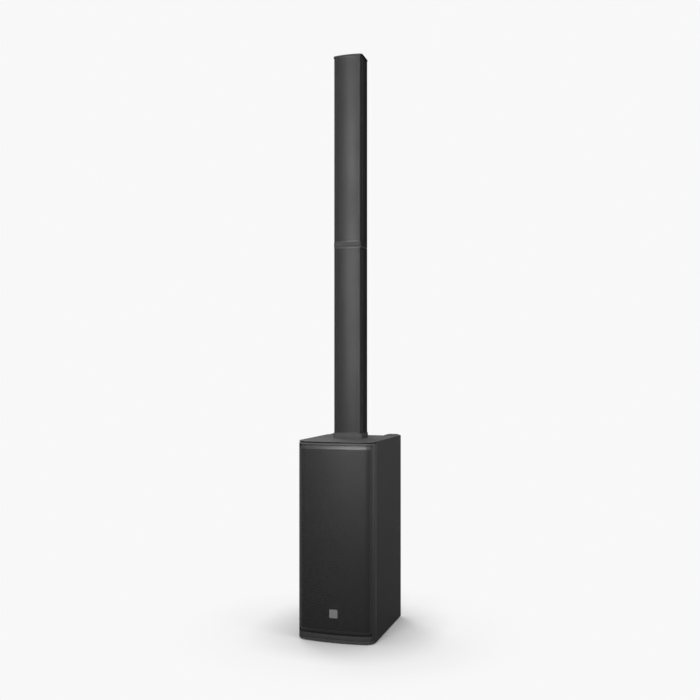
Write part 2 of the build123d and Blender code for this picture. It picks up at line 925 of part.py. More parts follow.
# ---------------------------------------------------------------- amplifier panel
button_places = [
    (button_x + (i - (button_count - 1) / 2) * button_pitch, button_z)
    for i in range(button_count)
]
jack_places = [(x, jack_z) for x in jack_x]
link_place = (link_x, jack_z)
jack_screws = [
    (x + side * jack_screw_x, z + side * jack_screw_z)
    for x, z in jack_places + [link_place]
    for side in (-1, 1)
]
phono_places = [(phono_x, phono_z + i * phono_pitch) for i in range(2)]

with BuildPart() as amp_panel:
    with BuildSketch(facing_rear(rear_board_face)):
        with Locations(on_rear(0, panel_z)):
            RectangleRounded(amp_width, amp_height, amp_corner)
            with GridLocations(panel_screw_pitch_x, panel_screw_pitch_z, 2, amp_screw_rows):
                Circle(screw_hole, mode=Mode.SUBTRACT)
        with Locations(on_rear(knob_x, knob_z)):
            Circle(bushing_radius + panel_hole_fit, mode=Mode.SUBTRACT)
        with Locations(on_rear(display_x, display_z)):
            Rectangle(display_width + 2 * fit, display_height + 2 * fit, mode=Mode.SUBTRACT)
        with Locations(*[on_rear(x, z) for x, z in button_places]):
            Rectangle(
                button_width + 2 * button_clearance,
                button_height + 2 * button_clearance,
                mode=Mode.SUBTRACT,
            )
        with Locations(*[on_rear(x, z) for x, z in jack_places + [link_place]]):
            Circle(jack_body_radius + panel_hole_fit, mode=Mode.SUBTRACT)
        with Locations(*[on_rear(x, z) for x, z in jack_screws]):
            Circle(screw_hole, mode=Mode.SUBTRACT)
        with Locations(*[on_rear(x, z) for x, z in phono_places]):
            Circle(phono_body_radius + panel_hole_fit, mode=Mode.SUBTRACT)
        with Locations(on_rear(aux_x, aux_z)):
            Circle(aux_barrel_radius + panel_hole_fit, mode=Mode.SUBTRACT)
        with Locations(on_rear(inlet_x, power_z)):
            Rectangle(inlet_body_width + 2 * fit, inlet_body_height + 2 * fit, mode=Mode.SUBTRACT)
        with Locations(on_rear(switch_x, power_z)):
            Rectangle(
                switch_body_width + 2 * fit, switch_body_height + 2 * fit, mode=Mode.SUBTRACT
            )
        with Locations(on_rear(fuse_x, power_z)):
            Circle(fuse_body_radius + panel_hole_fit, mode=Mode.SUBTRACT)
    extrude(amount=amp_sheet)
save(amp_panel, "amp_panel")

with BuildPart() as heat_sink:
    sink_pitch = (sink_width - sink_fin_thickness) / (sink_fin_count - 1)
    with BuildSketch(Plane.XY.offset(sink_bottom)):
        with Locations((0, panel_face + sink_base / 2)):
            Rectangle(sink_width, sink_base)
        with Locations((0, panel_face + sink_base + sink_fin / 2)):
            with GridLocations(sink_pitch, 0, sink_fin_count, 1):
                Rectangle(sink_fin_thickness, sink_fin)
    extrude(amount=sink_top - sink_bottom)
save(heat_sink, "heat_sink")

# ---------------------------------------------------------------- display, knob and buttons
board_front = rear_board_face - encoder_height  # rear face of the control board
with BuildPart() as control_board:
    with BuildSketch(facing_front(board_front)):
        with Locations((0, control_board_z)):
            Rectangle(control_board_width, control_board_height)
    extrude(amount=board_thickness)
    with BuildSketch(facing_rear(board_front)):
        with Locations(on_rear(display_x, display_z)):
            Rectangle(
                display_width + 2 * display_border, display_height + 2 * display_border
            )
    extrude(amount=encoder_height)
save(control_board, "control_board")

with BuildPart() as display_window:
    with BuildSketch(facing_rear(rear_board_face)):
        with Locations(on_rear(display_x, display_z)):
            RectangleRounded(display_width, display_height, display_corner)
    extrude(amount=display_glass)
    chamfer(display_window.edges().group_by(Axis.Y)[-1], display_chamfer)
save(display_window, "display_window")

bore_radius = shaft_radius + shaft_clearance
with BuildPart() as encoder_body:
    with BuildSketch(facing_rear(board_front)):
        with Locations(on_rear(knob_x, knob_z)):
            Rectangle(encoder_size, encoder_size)
    extrude(amount=encoder_height)
    with BuildSketch(facing_rear(rear_board_face)):
        with Locations(on_rear(knob_x, knob_z)):
            Circle(bushing_radius)
    extrude(amount=amp_sheet + bushing_height)
    with BuildSketch(facing_rear(board_front + encoder_back)):
        with Locations(on_rear(knob_x, knob_z)):
            Circle(bore_radius)
    extrude(amount=encoder_height + amp_sheet + bushing_height, mode=Mode.SUBTRACT)
save(encoder_body, "encoder_body")

plunger_y = board_front + encoder_back + encoder_rest_gap
with BuildPart() as encoder_plunger:
    with BuildSketch(facing_rear(plunger_y)):
        with Locations(on_rear(knob_x, knob_z)):
            Circle(plunger_radius)
    extrude(amount=plunger_height)
save(encoder_plunger, "encoder_plunger")

knob_y = panel_face + knob_gap
with BuildPart() as encoder_shaft:
    with BuildSketch(facing_rear(plunger_y + plunger_height)):
        with Locations(on_rear(knob_x, knob_z)):
            Circle(shaft_radius)
    extrude(amount=knob_y + knob_bore_depth - plunger_y - plunger_height)
save(encoder_shaft, "encoder_shaft")

with BuildPart() as control_knob:
    with BuildSketch(facing_rear(knob_y)):
        with Locations(on_rear(knob_x, knob_z)):
            Circle(knob_skirt)
    extrude(amount=knob_skirt_height)
    with BuildSketch(facing_rear(knob_y + knob_skirt_height)):
        with Locations(on_rear(knob_x, knob_z)):
            Circle(knob_radius)
            with PolarLocations(knob_radius, knob_flutes):
                Circle(knob_flute_radius, mode=Mode.SUBTRACT)
    extrude(amount=knob_height - knob_skirt_height, taper=knob_taper)
    with BuildSketch(facing_rear(knob_y)):
        with Locations(on_rear(knob_x, knob_z)):
            Circle(bore_radius)
    extrude(amount=knob_bore_depth, mode=Mode.SUBTRACT)
    with BuildSketch(facing_rear(knob_y)):
        with Locations(on_rear(knob_x, knob_z)):
            Circle(bushing_radius + bushing_clearance)
    extrude(amount=bushing_height + knob_gap, mode=Mode.SUBTRACT)
save(control_knob, "control_knob")


def push_button(x, z):
    """Rectangular key cap with a retaining flange behind the panel and a short stem."""
    flange_y = rear_board_face - fit - button_flange
    with BuildPart() as button:
        with BuildSketch(facing_rear(flange_y)):
            with Locations(on_rear(x, z)):
                Rectangle(button_width + 2 * button_flange_lip, button_height + 2 * button_flange_lip)
        extrude(amount=button_flange)
        with BuildSketch(facing_rear(flange_y)):
            with Locations(on_rear(x, z)):
                RectangleRounded(button_width, button_height, button_corner)
        extrude(amount=panel_face + button_stand - flange_y)
        chamfer(button.edges().group_by(Axis.Y)[-1], button_chamfer)
        with BuildSketch(facing_front(flange_y)):
            with Locations((x, z)):
                Circle(button_stem / 2)
        extrude(amount=button_stem)
    return button.part


for number, (x, z) in enumerate(button_places, start=1):
    with BuildPart() as menu_button:
        add(push_button(x, z))
    save(menu_button, f"menu_button_{number}")

# ---------------------------------------------------------------- signal connectors


def socket_body(x, z):
    """Square flange on the panel with a round body through it."""
    with BuildPart() as body:
        with BuildSketch(facing_rear(panel_face)):
            with Locations(on_rear(x, z)):
                RectangleRounded(jack_flange_width, jack_flange_height, jack_flange_corner)
                for side in (-1, 1):
                    with Locations((side * jack_screw_x, -side * jack_screw_z)):
                        Circle(screw_hole, mode=Mode.SUBTRACT)
        extrude(amount=jack_flange)
        with BuildSketch(facing_front(panel_face)):
            with Locations((x, z)):
                Circle(jack_body_radius)
        extrude(amount=jack_body_depth)
    return body.part


def input_jack(x, z):
    """Combined plug socket: one large bore with three small ones round it."""
    with BuildPart() as jack:
        add(socket_body(x, z))
        with BuildSketch(facing_front(panel_face + jack_flange)):
            with Locations((x, z)):
                Circle(jack_bore_radius)
                with PolarLocations(jack_pin_spread, pin_count, pin_turn):
                    Circle(jack_pin_radius)
        extrude(amount=jack_bore_depth, mode=Mode.SUBTRACT)
    return jack.part


for number, (x, z) in enumerate(jack_places, start=1):
    with BuildPart() as jack:
        add(input_jack(x, z))
    save(jack, f"input_jack_{number}")

with BuildPart() as link_socket:
    add(socket_body(link_x, jack_z))
    with BuildSketch(facing_front(panel_face + jack_flange)):
        with Locations(link_place):
            Circle(link_cavity_radius)
    extrude(amount=link_cavity_depth, mode=Mode.SUBTRACT)
    with BuildSketch(facing_rear(panel_face + jack_flange - link_cavity_depth)):
        with Locations(on_rear(*link_place)):
            with PolarLocations(link_pin_spread, pin_count, pin_turn):
                Circle(link_pin_radius)
    extrude(amount=link_pin_length)
save(link_socket, "link_socket")

with BuildPart() as line_sockets:
    for x, z in phono_places:
        with BuildSketch(facing_rear(panel_face)):
            with Locations(on_rear(x, z)):
                Circle(phono_radius + phono_ring)
        extrude(amount=phono_ring)
        with BuildSketch(facing_rear(panel_face)):
            with Locations(on_rear(x, z)):
                Circle(phono_radius)
        extrude(amount=phono_stand)
        with BuildSketch(facing_front(panel_face)):
            with Locations((x, z)):
                Circle(phono_body_radius)
        extrude(amount=phono_body)
        with BuildSketch(facing_front(panel_face + phono_stand)):
            with Locations((x, z)):
                Circle(phono_bore)
        extrude(amount=phono_stand, mode=Mode.SUBTRACT)
    with BuildSketch(facing_rear(panel_face)):
        with Locations(on_rear(aux_x, aux_z)):
            RegularPolygon(aux_nut_radius, aux_nut_sides)
    extrude(amount=aux_nut_height)
    with BuildSketch(facing_front(panel_face)):
        with Locations((aux_x, aux_z)):
            Circle(aux_barrel_radius)
    extrude(amount=aux_body)
    with BuildSketch(facing_front(panel_face + aux_nut_height)):
        with Locations((aux_x, aux_z)):
            Circle(aux_bore_radius)
    extrude(amount=aux_bore_depth - aux_nut_height, mode=Mode.SUBTRACT)
save(line_sockets, "line_sockets")

# ---------------------------------------------------------------- mains connectors
inlet_face = panel_face + inlet_flange
with BuildPart() as power_inlet:
    with BuildSketch(facing_rear(panel_face)):
        with Locations(on_rear(inlet_x, power_z)):
            RectangleRounded(inlet_width, inlet_height, inlet_corner)
    extrude(amount=inlet_flange)
    with BuildSketch(facing_front(panel_face)):
        with Locations((inlet_x, power_z)):
            Rectangle(inlet_body_width, inlet_body_height)
    extrude(amount=inlet_body_depth)
    with BuildSketch(facing_front(inlet_face)):
        with Locations((inlet_x, power_z)):
            Rectangle(inlet_cavity_width, inlet_cavity_height)
    extrude(amount=inlet_cavity_depth, mode=Mode.SUBTRACT)
save(power_inlet, "power_inlet")

with BuildPart() as inlet_pins:
    with BuildSketch(facing_rear(inlet_face - inlet_cavity_depth)):
        for step, lift in ((-1, -1), (0, 1), (1, -1)):
            pin_x = inlet_x + step * inlet_pin_pitch
            with Locations(on_rear(pin_x, power_z + lift * inlet_pin_drop)):
                Rectangle(inlet_pin_width, inlet_pin_height)
    extrude(amount=inlet_pin_length)
save(inlet_pins, "inlet_pins")

pivot_y = panel_face + switch_flange
with BuildPart() as switch_frame:
    with BuildSketch(facing_rear(panel_face)):
        with Locations(on_rear(switch_x, power_z)):
            RectangleRounded(switch_width, switch_height, switch_corner)
    extrude(amount=switch_flange)
    with BuildSketch(facing_front(panel_face)):
        with Locations((switch_x, power_z)):
            Rectangle(switch_body_width, switch_body_height)
    extrude(amount=switch_body_depth - switch_flange)
    with BuildSketch(Plane.YZ.offset(switch_x)):
        with Locations((pivot_y, power_z)):
            Circle(rocker_radius + rocker_clearance)
    extrude(amount=rocker_width / 2 + rocker_clearance, both=True, mode=Mode.SUBTRACT)
save(switch_frame, "switch_frame")

with BuildPart() as power_rocker:
    with BuildSketch(Plane.YZ.offset(switch_x)):
        with Locations(Location((pivot_y, power_z), rocker_throw / 2)):
            Circle(rocker_radius)
            with Locations((rocker_radius + rocker_face, 0)):
                Rectangle(2 * rocker_radius, 2 * rocker_radius, mode=Mode.SUBTRACT)
    extrude(amount=rocker_width / 2, both=True)
save(power_rocker, "power_rocker")

with BuildPart() as fuse_holder:
    with BuildSketch(facing_rear(panel_face)):
        with Locations(on_rear(fuse_x, power_z)):
            Circle(fuse_radius)
    extrude(amount=fuse_stand)
    chamfer(fuse_holder.edges().group_by(Axis.Y)[-1], fuse_chamfer)
    with BuildSketch(facing_front(panel_face)):
        with Locations((fuse_x, power_z)):
            Circle(fuse_body_radius)
    extrude(amount=fuse_body_depth)
    with BuildSketch(facing_front(panel_face + fuse_stand)):
        with Locations((fuse_x, power_z)):
            Rectangle(fuse_slot_length, fuse_slot)
    extrude(amount=fuse_slot_depth, mode=Mode.SUBTRACT)
save(fuse_holder, "fuse_holder")

# ---------------------------------------------------------------- amplifier board
with BuildPart() as amp_board:
    with BuildSketch(facing_front(board_y + board_thickness)):
        with Locations((0, amp_board_z)):
            Rectangle(amp_board_width, amp_board_height)
    extrude(amount=board_thickness)
    with BuildSketch(facing_rear(board_y + board_thickness)):
        with Locations(on_rear(0, amp_board_z)):
            with GridLocations(
                amp_board_width - 2 * standoff_inset, amp_board_height - 2 * standoff_inset, 2, 2
            ):
                Circle(standoff_radius)
    extrude(amount=rear_board_face - board_y - board_thickness)
    with BuildSketch(facing_front(board_y)):
        with Locations((0, capacitor_z)):
            with GridLocations(
                capacitor_pitch, capacitor_pitch, capacitor_columns, capacitor_rows
            ):
                Circle(capacitor_radius)
    extrude(amount=capacitor_height)
save(amp_board, "amp_board")

with BuildPart() as transformer:
    with BuildSketch(facing_front(board_y)):
        with Locations((0, transformer_z)):
            Circle(transformer_radius)
            Circle(transformer_hole, mode=Mode.SUBTRACT)
    extrude(amount=transformer_height)
    fillet(transformer.edges().group_by(Axis.Y)[0], transformer_rounding)
save(transformer, "transformer")

# ---------------------------------------------------------------- screws
with BuildPart() as panel_screws:
    for column in (-1, 1):
        for row in range(amp_screw_rows):
            screw_z = panel_z + (row - (amp_screw_rows - 1) / 2) * panel_screw_pitch_z
            add(rear_screw(column * panel_screw_pitch_x / 2, panel_face, screw_z))
    for x, z in jack_screws:
        add(rear_screw(x, panel_face + jack_flange, z))
save(panel_screws, "panel_screws")

with BuildPart() as cabinet_screws:
    for height in woofer_heights:
        ring = Plane(origin=(0, seam_y - woofer_flange, height), x_dir=(1, 0, 0), z_dir=(0, -1, 0))
        for place in PolarLocations(woofer_fixing_radius, woofer_screws, woofer_screw_turn):
            add(screw(Plane(ring.location * place)))
    for side in (-1, 1):
        tab_point = (
            side * grip_screw_pitch / 2,
            grip_front - grip_tongue / 2,
            ceiling_z - grip_tongue_thickness,
        )
        add(screw(Plane(origin=tab_point, x_dir=(1, 0, 0), z_dir=(0, 0, -1))))
save(cabinet_screws, "cabinet_screws")

# ---------------------------------------------------------------- column sections
driver_basket = basket_points(
    driver_opening,
    driver_cutout,
    driver_flange_thickness,
    driver_depth,
    driver_sheet,
    driver_back_radius,
    driver_gap_radius,
)
driver_magnet = magnet_points(
    driver_depth,
    driver_magnet_radius,
    driver_magnet_height,
    driver_magnet_plate,
    driver_gap_radius,
    driver_coil_radius,
    driver_coil_wall,
    driver_coil_gap,
)
driver_cone = cone_points(
    driver_cone_radius,
    driver_cone_sheet,
    driver_flange_thickness,
    driver_neck,
    driver_dust_cap_rise,
    driver_coil_radius,
    driver_coil_wall,
    driver_coil_length,
)


def tongue(bottom, top):
    """Block that fits inside a housing behind the baffle."""
    with BuildPart() as block:
        with BuildSketch(Plane.XY.offset(bottom)):
            with Locations((0, spigot_y)):
                Rectangle(2 * tongue_half, tongue_rear - tongue_front)
        extrude(amount=top - bottom)
        inner_radius = column_rear_radius - column_wall + fit
        fillet(block.edges().filter_by(Axis.Z).group_by(Axis.Y)[-1], inner_radius)
    return block.part


def end_cap(foot):
    """Foot of a section: cap, tongue into the housing, and spigot with holes for the contacts."""
    cap_top = foot + end_cap_height
    with BuildPart() as cap:
        add(rounded_block(column_plan, 0, column_rear, column_rear_radius, foot, cap_top))
        rims = cap.edges().group_by(Axis.Z)
        chamfer(rims[0] + rims[-1], end_cap_chamfer)
        add(tongue(cap_top - end_cap_chamfer, cap_top + end_cap_tongue))
        with BuildSketch(Plane.XY.offset(foot)):
            with Locations((0, spigot_y)):
                Rectangle(spigot_width, spigot_depth)
        extrude(amount=-spigot_length)
        chamfer(cap.edges().group_by(Axis.Z)[0], spigot_lead_in)
        with BuildSketch(Plane.XY.offset(foot - spigot_length)):
            with Locations((0, spigot_y)):
                with GridLocations(contact_pitch, 0, contact_count, 1):
                    Circle(contact_radius + contact_clearance)
        extrude(amount=contact_height + well_relief, mode=Mode.SUBTRACT)
    return cap.part


def housing(bottom, top):
    """Channel that wraps the sides and back of a section, with a shallow groove down each side."""
    with BuildPart() as shell:
        with BuildSketch(Plane.XY.offset(bottom)):
            with Locations((0, (housing_front + column_rear) / 2)):
                Rectangle(column_width, column_rear - housing_front)
        extrude(amount=top - bottom)
        fillet(shell.edges().filter_by(Axis.Z).group_by(Axis.Y)[-1], column_rear_radius)
        with BuildSketch(Plane.XY.offset(bottom)) as inside:
            with Locations((0, (housing_front + column_rear_inside) / 2 - column_wall)):
                Rectangle(
                    2 * column_half_inside,
                    column_rear_inside - housing_front + 2 * column_wall,
                )
            corners = inside.vertices().group_by(Axis.Y)[-1]
            fillet(corners, column_rear_radius - column_wall)
        extrude(amount=top - bottom, mode=Mode.SUBTRACT)
        with BuildSketch(Plane.XY.offset(bottom)):
            with Locations((0, column_y)):
                with GridLocations(column_width, 0, 2, 1):
                    Rectangle(2 * channel_depth, channel_width)
        extrude(amount=top - bottom, mode=Mode.SUBTRACT)
        fillet(shell.edges().filter_by(Axis.Z).group_by(Axis.Y)[0], column_wall / 3)
    return shell.part


def grille_channel(bottom, top):
    """Bowed grille sheet folded back at both sides to the baffle."""
    with BuildPart() as sheet:
        add(bowed_block(column_grille_plan, 0, column_baffle_face, bottom, top))
        add(
            bowed_block(column_grille_plan, column_grille_sheet, column_baffle_face, bottom, top),
            mode=Mode.SUBTRACT,
        )
    return sheet.part


def column_baffle(bottom, top, heights):
    with BuildPart() as board:
        with BuildSketch(facing_front(column_baffle_back)):
            with Locations((0, (bottom + top) / 2)):
                Rectangle(2 * (column_half_inside - fit), top - bottom)
            with Locations(*[(0, height) for height in heights]):
                Circle(driver_cutout, mode=Mode.SUBTRACT)
        extrude(amount=column_baffle_thickness)
    return board.part


def driver_frames(heights):
    """Row of frames with square flanges, each with its surround moulded on."""
    with BuildPart() as row:
        for height in heights:
            add(turned(0, column_baffle_face, height, driver_basket))
        with BuildSketch(facing_front(column_baffle_face)):
            with Locations(*[(0, height) for height in heights]):
                RectangleRounded(driver_flange, driver_flange, driver_flange_corner)
                Circle(driver_opening, mode=Mode.SUBTRACT)
        extrude(amount=driver_flange_thickness)
        for height in heights:
            add(
                surround(
                    0,
                    column_baffle_face,
                    height,
                    driver_cone_radius + cone_edge_gap,
                    driver_opening,
                    driver_flange_thickness,
                    driver_cone_sheet,
                    driver_surround_landing,
                )
            )
    return row.part


def driver_row(heights, section):
    """Row of like pieces turned from one section, one at each driver."""
    with BuildPart() as row:
        for height in heights:
            add(turned(0, column_baffle_face, height, section))
    return row.part


sections = [
    ("lower_column", column_bottom, joint_z - column_rim),
    ("upper_column", joint_z, column_top - top_cap_height),
]
for name, foot, tube_top in sections:
    tube_bottom = foot + end_cap_height
    heights = [foot + driver_first + i * driver_pitch for i in range(driver_count)]
    with BuildPart() as section_end_cap:
        add(end_cap(foot))
    save(section_end_cap, f"{name}_end_cap")

    with BuildPart() as section_housing:
        add(housing(tube_bottom, tube_top))
    save(section_housing, f"{name}_housing")

    with BuildPart() as section_baffle:
        add(column_baffle(tube_bottom + fit, tube_top - fit, heights))
    save(section_baffle, f"{name}_baffle")

    with BuildPart() as section_grille:
        add(grille_channel(tube_bottom + seam, tube_top - seam))
    save(section_grille, f"{name}_grille")

    with BuildPart() as section_frames:
        add(driver_frames(heights))
    save(section_frames, f"{name}_driver_frames")

    with BuildPart() as section_magnets:
        add(driver_row(heights, driver_magnet))
    save(section_magnets, f"{name}_driver_magnets")

    with BuildPart() as section_cones:
        add(driver_row(heights, driver_cone))
    save(section_cones, f"{name}_driver_cones")

with BuildPart() as lower_column_socket:
    rim_bottom = joint_z - column_rim
    add(rounded_block(column_plan, 0, column_rear, column_rear_radius, rim_bottom, joint_z))
    chamfer(lower_column_socket.edges().group_by(Axis.Z)[-1], end_cap_chamfer)
    add(tongue(joint_z - spigot_length - well_relief - well_floor, rim_bottom))
    add(spigot_well(joint_z), mode=Mode.SUBTRACT)
save(lower_column_socket, "lower_column_socket")

with BuildPart() as lower_column_contacts:
    add(contact_pins(joint_z))
save(lower_column_contacts, "lower_column_contacts")

with BuildPart() as upper_column_top_cap:
    cap_bottom = column_top - top_cap_height
    cap_rear = column_rear + top_cap_overhang
    cap_radius = column_rear_radius + top_cap_overhang
    add(rounded_block(column_plan, -top_cap_overhang, cap_rear, cap_radius, cap_bottom, column_top))
    fillet(upper_column_top_cap.edges().group_by(Axis.Z)[-1], top_edge_radius)
    add(tongue(cap_bottom - end_cap_tongue, cap_bottom))
save(upper_column_top_cap, "upper_column_top_cap")
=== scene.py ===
# %% [markdown]
# # A column PA system, dressed for a studio render
# The object is a powered bass cabinet with a slim loudspeaker column standing in a socket on its
# top. Its solid parts come from the CAD frame at their real size, in metres. This lesson adds what
# the frame leaves plain: perforated grilles, foam behind them, panel print and every finish.
# All pieces ride on a CAD body by name, so they follow it when a section is lifted out.

# %% Load the frame
import json
import math

import bmesh
import bpy
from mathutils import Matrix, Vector


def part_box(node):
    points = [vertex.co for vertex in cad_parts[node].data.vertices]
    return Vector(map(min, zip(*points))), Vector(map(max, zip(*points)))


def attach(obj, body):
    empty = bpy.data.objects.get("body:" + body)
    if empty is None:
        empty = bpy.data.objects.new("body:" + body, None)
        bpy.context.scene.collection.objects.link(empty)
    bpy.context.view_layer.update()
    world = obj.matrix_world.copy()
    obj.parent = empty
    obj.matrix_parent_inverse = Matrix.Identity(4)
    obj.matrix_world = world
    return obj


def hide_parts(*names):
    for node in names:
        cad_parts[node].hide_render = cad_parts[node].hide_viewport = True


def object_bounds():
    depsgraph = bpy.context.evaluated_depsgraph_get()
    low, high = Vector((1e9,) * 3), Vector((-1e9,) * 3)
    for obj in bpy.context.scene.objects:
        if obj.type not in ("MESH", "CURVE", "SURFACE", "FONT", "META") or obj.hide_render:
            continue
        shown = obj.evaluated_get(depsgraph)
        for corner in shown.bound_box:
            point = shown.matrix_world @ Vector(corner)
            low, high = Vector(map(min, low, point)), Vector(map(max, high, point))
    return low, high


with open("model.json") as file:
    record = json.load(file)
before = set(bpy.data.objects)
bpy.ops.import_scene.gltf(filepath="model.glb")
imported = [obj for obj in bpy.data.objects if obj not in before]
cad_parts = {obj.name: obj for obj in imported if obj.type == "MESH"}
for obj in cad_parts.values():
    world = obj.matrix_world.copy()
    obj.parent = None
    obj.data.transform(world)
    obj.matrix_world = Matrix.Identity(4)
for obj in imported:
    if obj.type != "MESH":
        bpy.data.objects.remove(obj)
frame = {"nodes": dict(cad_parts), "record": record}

cad_low, cad_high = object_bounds()
print("CAD box in metres:", [round(v, 4) for v in cad_high - cad_low])

# %% [markdown]
# ## Camera
# The camera stands to the right of the object, a little below its middle, three metres away.
# It is kept level and its frame is shifted instead, as an architect's camera is, because a tall
# thin object with upright edges should show them upright.

# %% Camera
VIEW_YAW = 17.4  # degrees to the right of straight ahead
CAMERA_PLACE = (0.8344, -2.6709, 0.8122)
SENSOR_WIDTH, LENS = 36.0, 44.92  # millimetres
FRAME_SHIFT = 0.0340  # share of the frame's width

camera_data = bpy.data.cameras.new("studio_camera")
camera_data.sensor_width = SENSOR_WIDTH
camera_data.lens = LENS
camera_data.shift_y = FRAME_SHIFT
camera = bpy.data.objects.new("studio_camera", camera_data)
camera.location = CAMERA_PLACE
camera.rotation_euler = (math.radians(90), 0, math.radians(VIEW_YAW))
bpy.context.scene.collection.objects.link(camera)
bpy.context.scene.camera = camera
bpy.context.scene.view_settings.view_transform = "Standard"
print("camera at", CAMERA_PLACE, "turned", VIEW_YAW, "degrees")

# %% [markdown]
# ## Node helpers
# A material is a small network of nodes, and so is the world behind the object. A few helpers keep
# each network short: one adds a node and sets its inputs, one joins two sockets, one does a sum,
# one maps a range of values to another, one blends two colours, and one starts a material.

# %% Node helpers
MM = 0.001


def node(owner, kind, **inputs):
    """Adds a shader node to a material or world and sets its inputs by name."""
    made = owner.node_tree.nodes.new(kind)
    for name, value in inputs.items():
        made.inputs[name.replace("_", " ")].default_value = value
    return made


def join(owner, source, target):
    """Links one socket to another."""
    owner.node_tree.links.new(source, target)


def calculate(owner, operation, *terms):
    """Result of a Math node whose terms are sockets or plain numbers."""
    step = node(owner, "ShaderNodeMath")
    step.operation = operation
    for place, term in zip(step.inputs, terms):
        if isinstance(term, bpy.types.NodeSocket):
            join(owner, term, place)
        else:
            place.default_value = term
    return step.outputs["Value"]


def remap(owner, value, start, end, smooth=False):
    """Socket that carries value from the range start to the range end, and no further."""
    span = node(
        owner,
        "ShaderNodeMapRange",
        From_Min=start[0],
        From_Max=start[1],
        To_Min=end[0],
        To_Max=end[1],
    )
    if smooth:
        span.interpolation_type = "SMOOTHSTEP"
    join(owner, value, span.inputs["Value"])
    return span.outputs["Result"]


def blend_colours(owner, factor, first, second):
    """Socket with a colour between two, each a socket or a plain colour."""
    blend = node(owner, "ShaderNodeMix")
    blend.data_type = "RGBA"
    join(owner, factor, blend.inputs["Factor"])
    for name, colour in (("A", first), ("B", second)):
        if isinstance(colour, bpy.types.NodeSocket):
            join(owner, colour, blend.inputs[name])
        else:
            blend.inputs[name].default_value = (*colour, 1)
    return blend.outputs["Result"]


def start_material(name, colour, roughness, metallic=0.0):
    """New material whose main shader holds a plain colour; returns it with that shader."""
    material = bpy.data.materials.new(name)
    material.use_nodes = True
    shader = material.node_tree.nodes["Principled BSDF"]
    shader.inputs["Base Color"].default_value = (*colour, 1)
    shader.inputs["Roughness"].default_value = roughness
    shader.inputs["Metallic"].default_value = metallic
    return material, shader


print("node helpers ready")

# %% [markdown]
# ## Black that isn't one black
# Nearly everything here is black, and what tells the pieces apart is the finish. The cabinet has a
# dull textured paint, the bezel and caps are moulded plastic with a spark-eroded grain, the grilles
# have a charcoal powder coat, and rubber is duller still. Each finish is one line of a table. Gloss
# is the shader's specular level: a white room in a black object's gloss turns it grey, so the dull
# paints get very little of it. The grain is two noises, one fine and one broad. The fine one
# raises the surface, and both together make the colour wander a little. Texture coordinates are
# the object's own, so a grain of half a millimetre is half a millimetre.

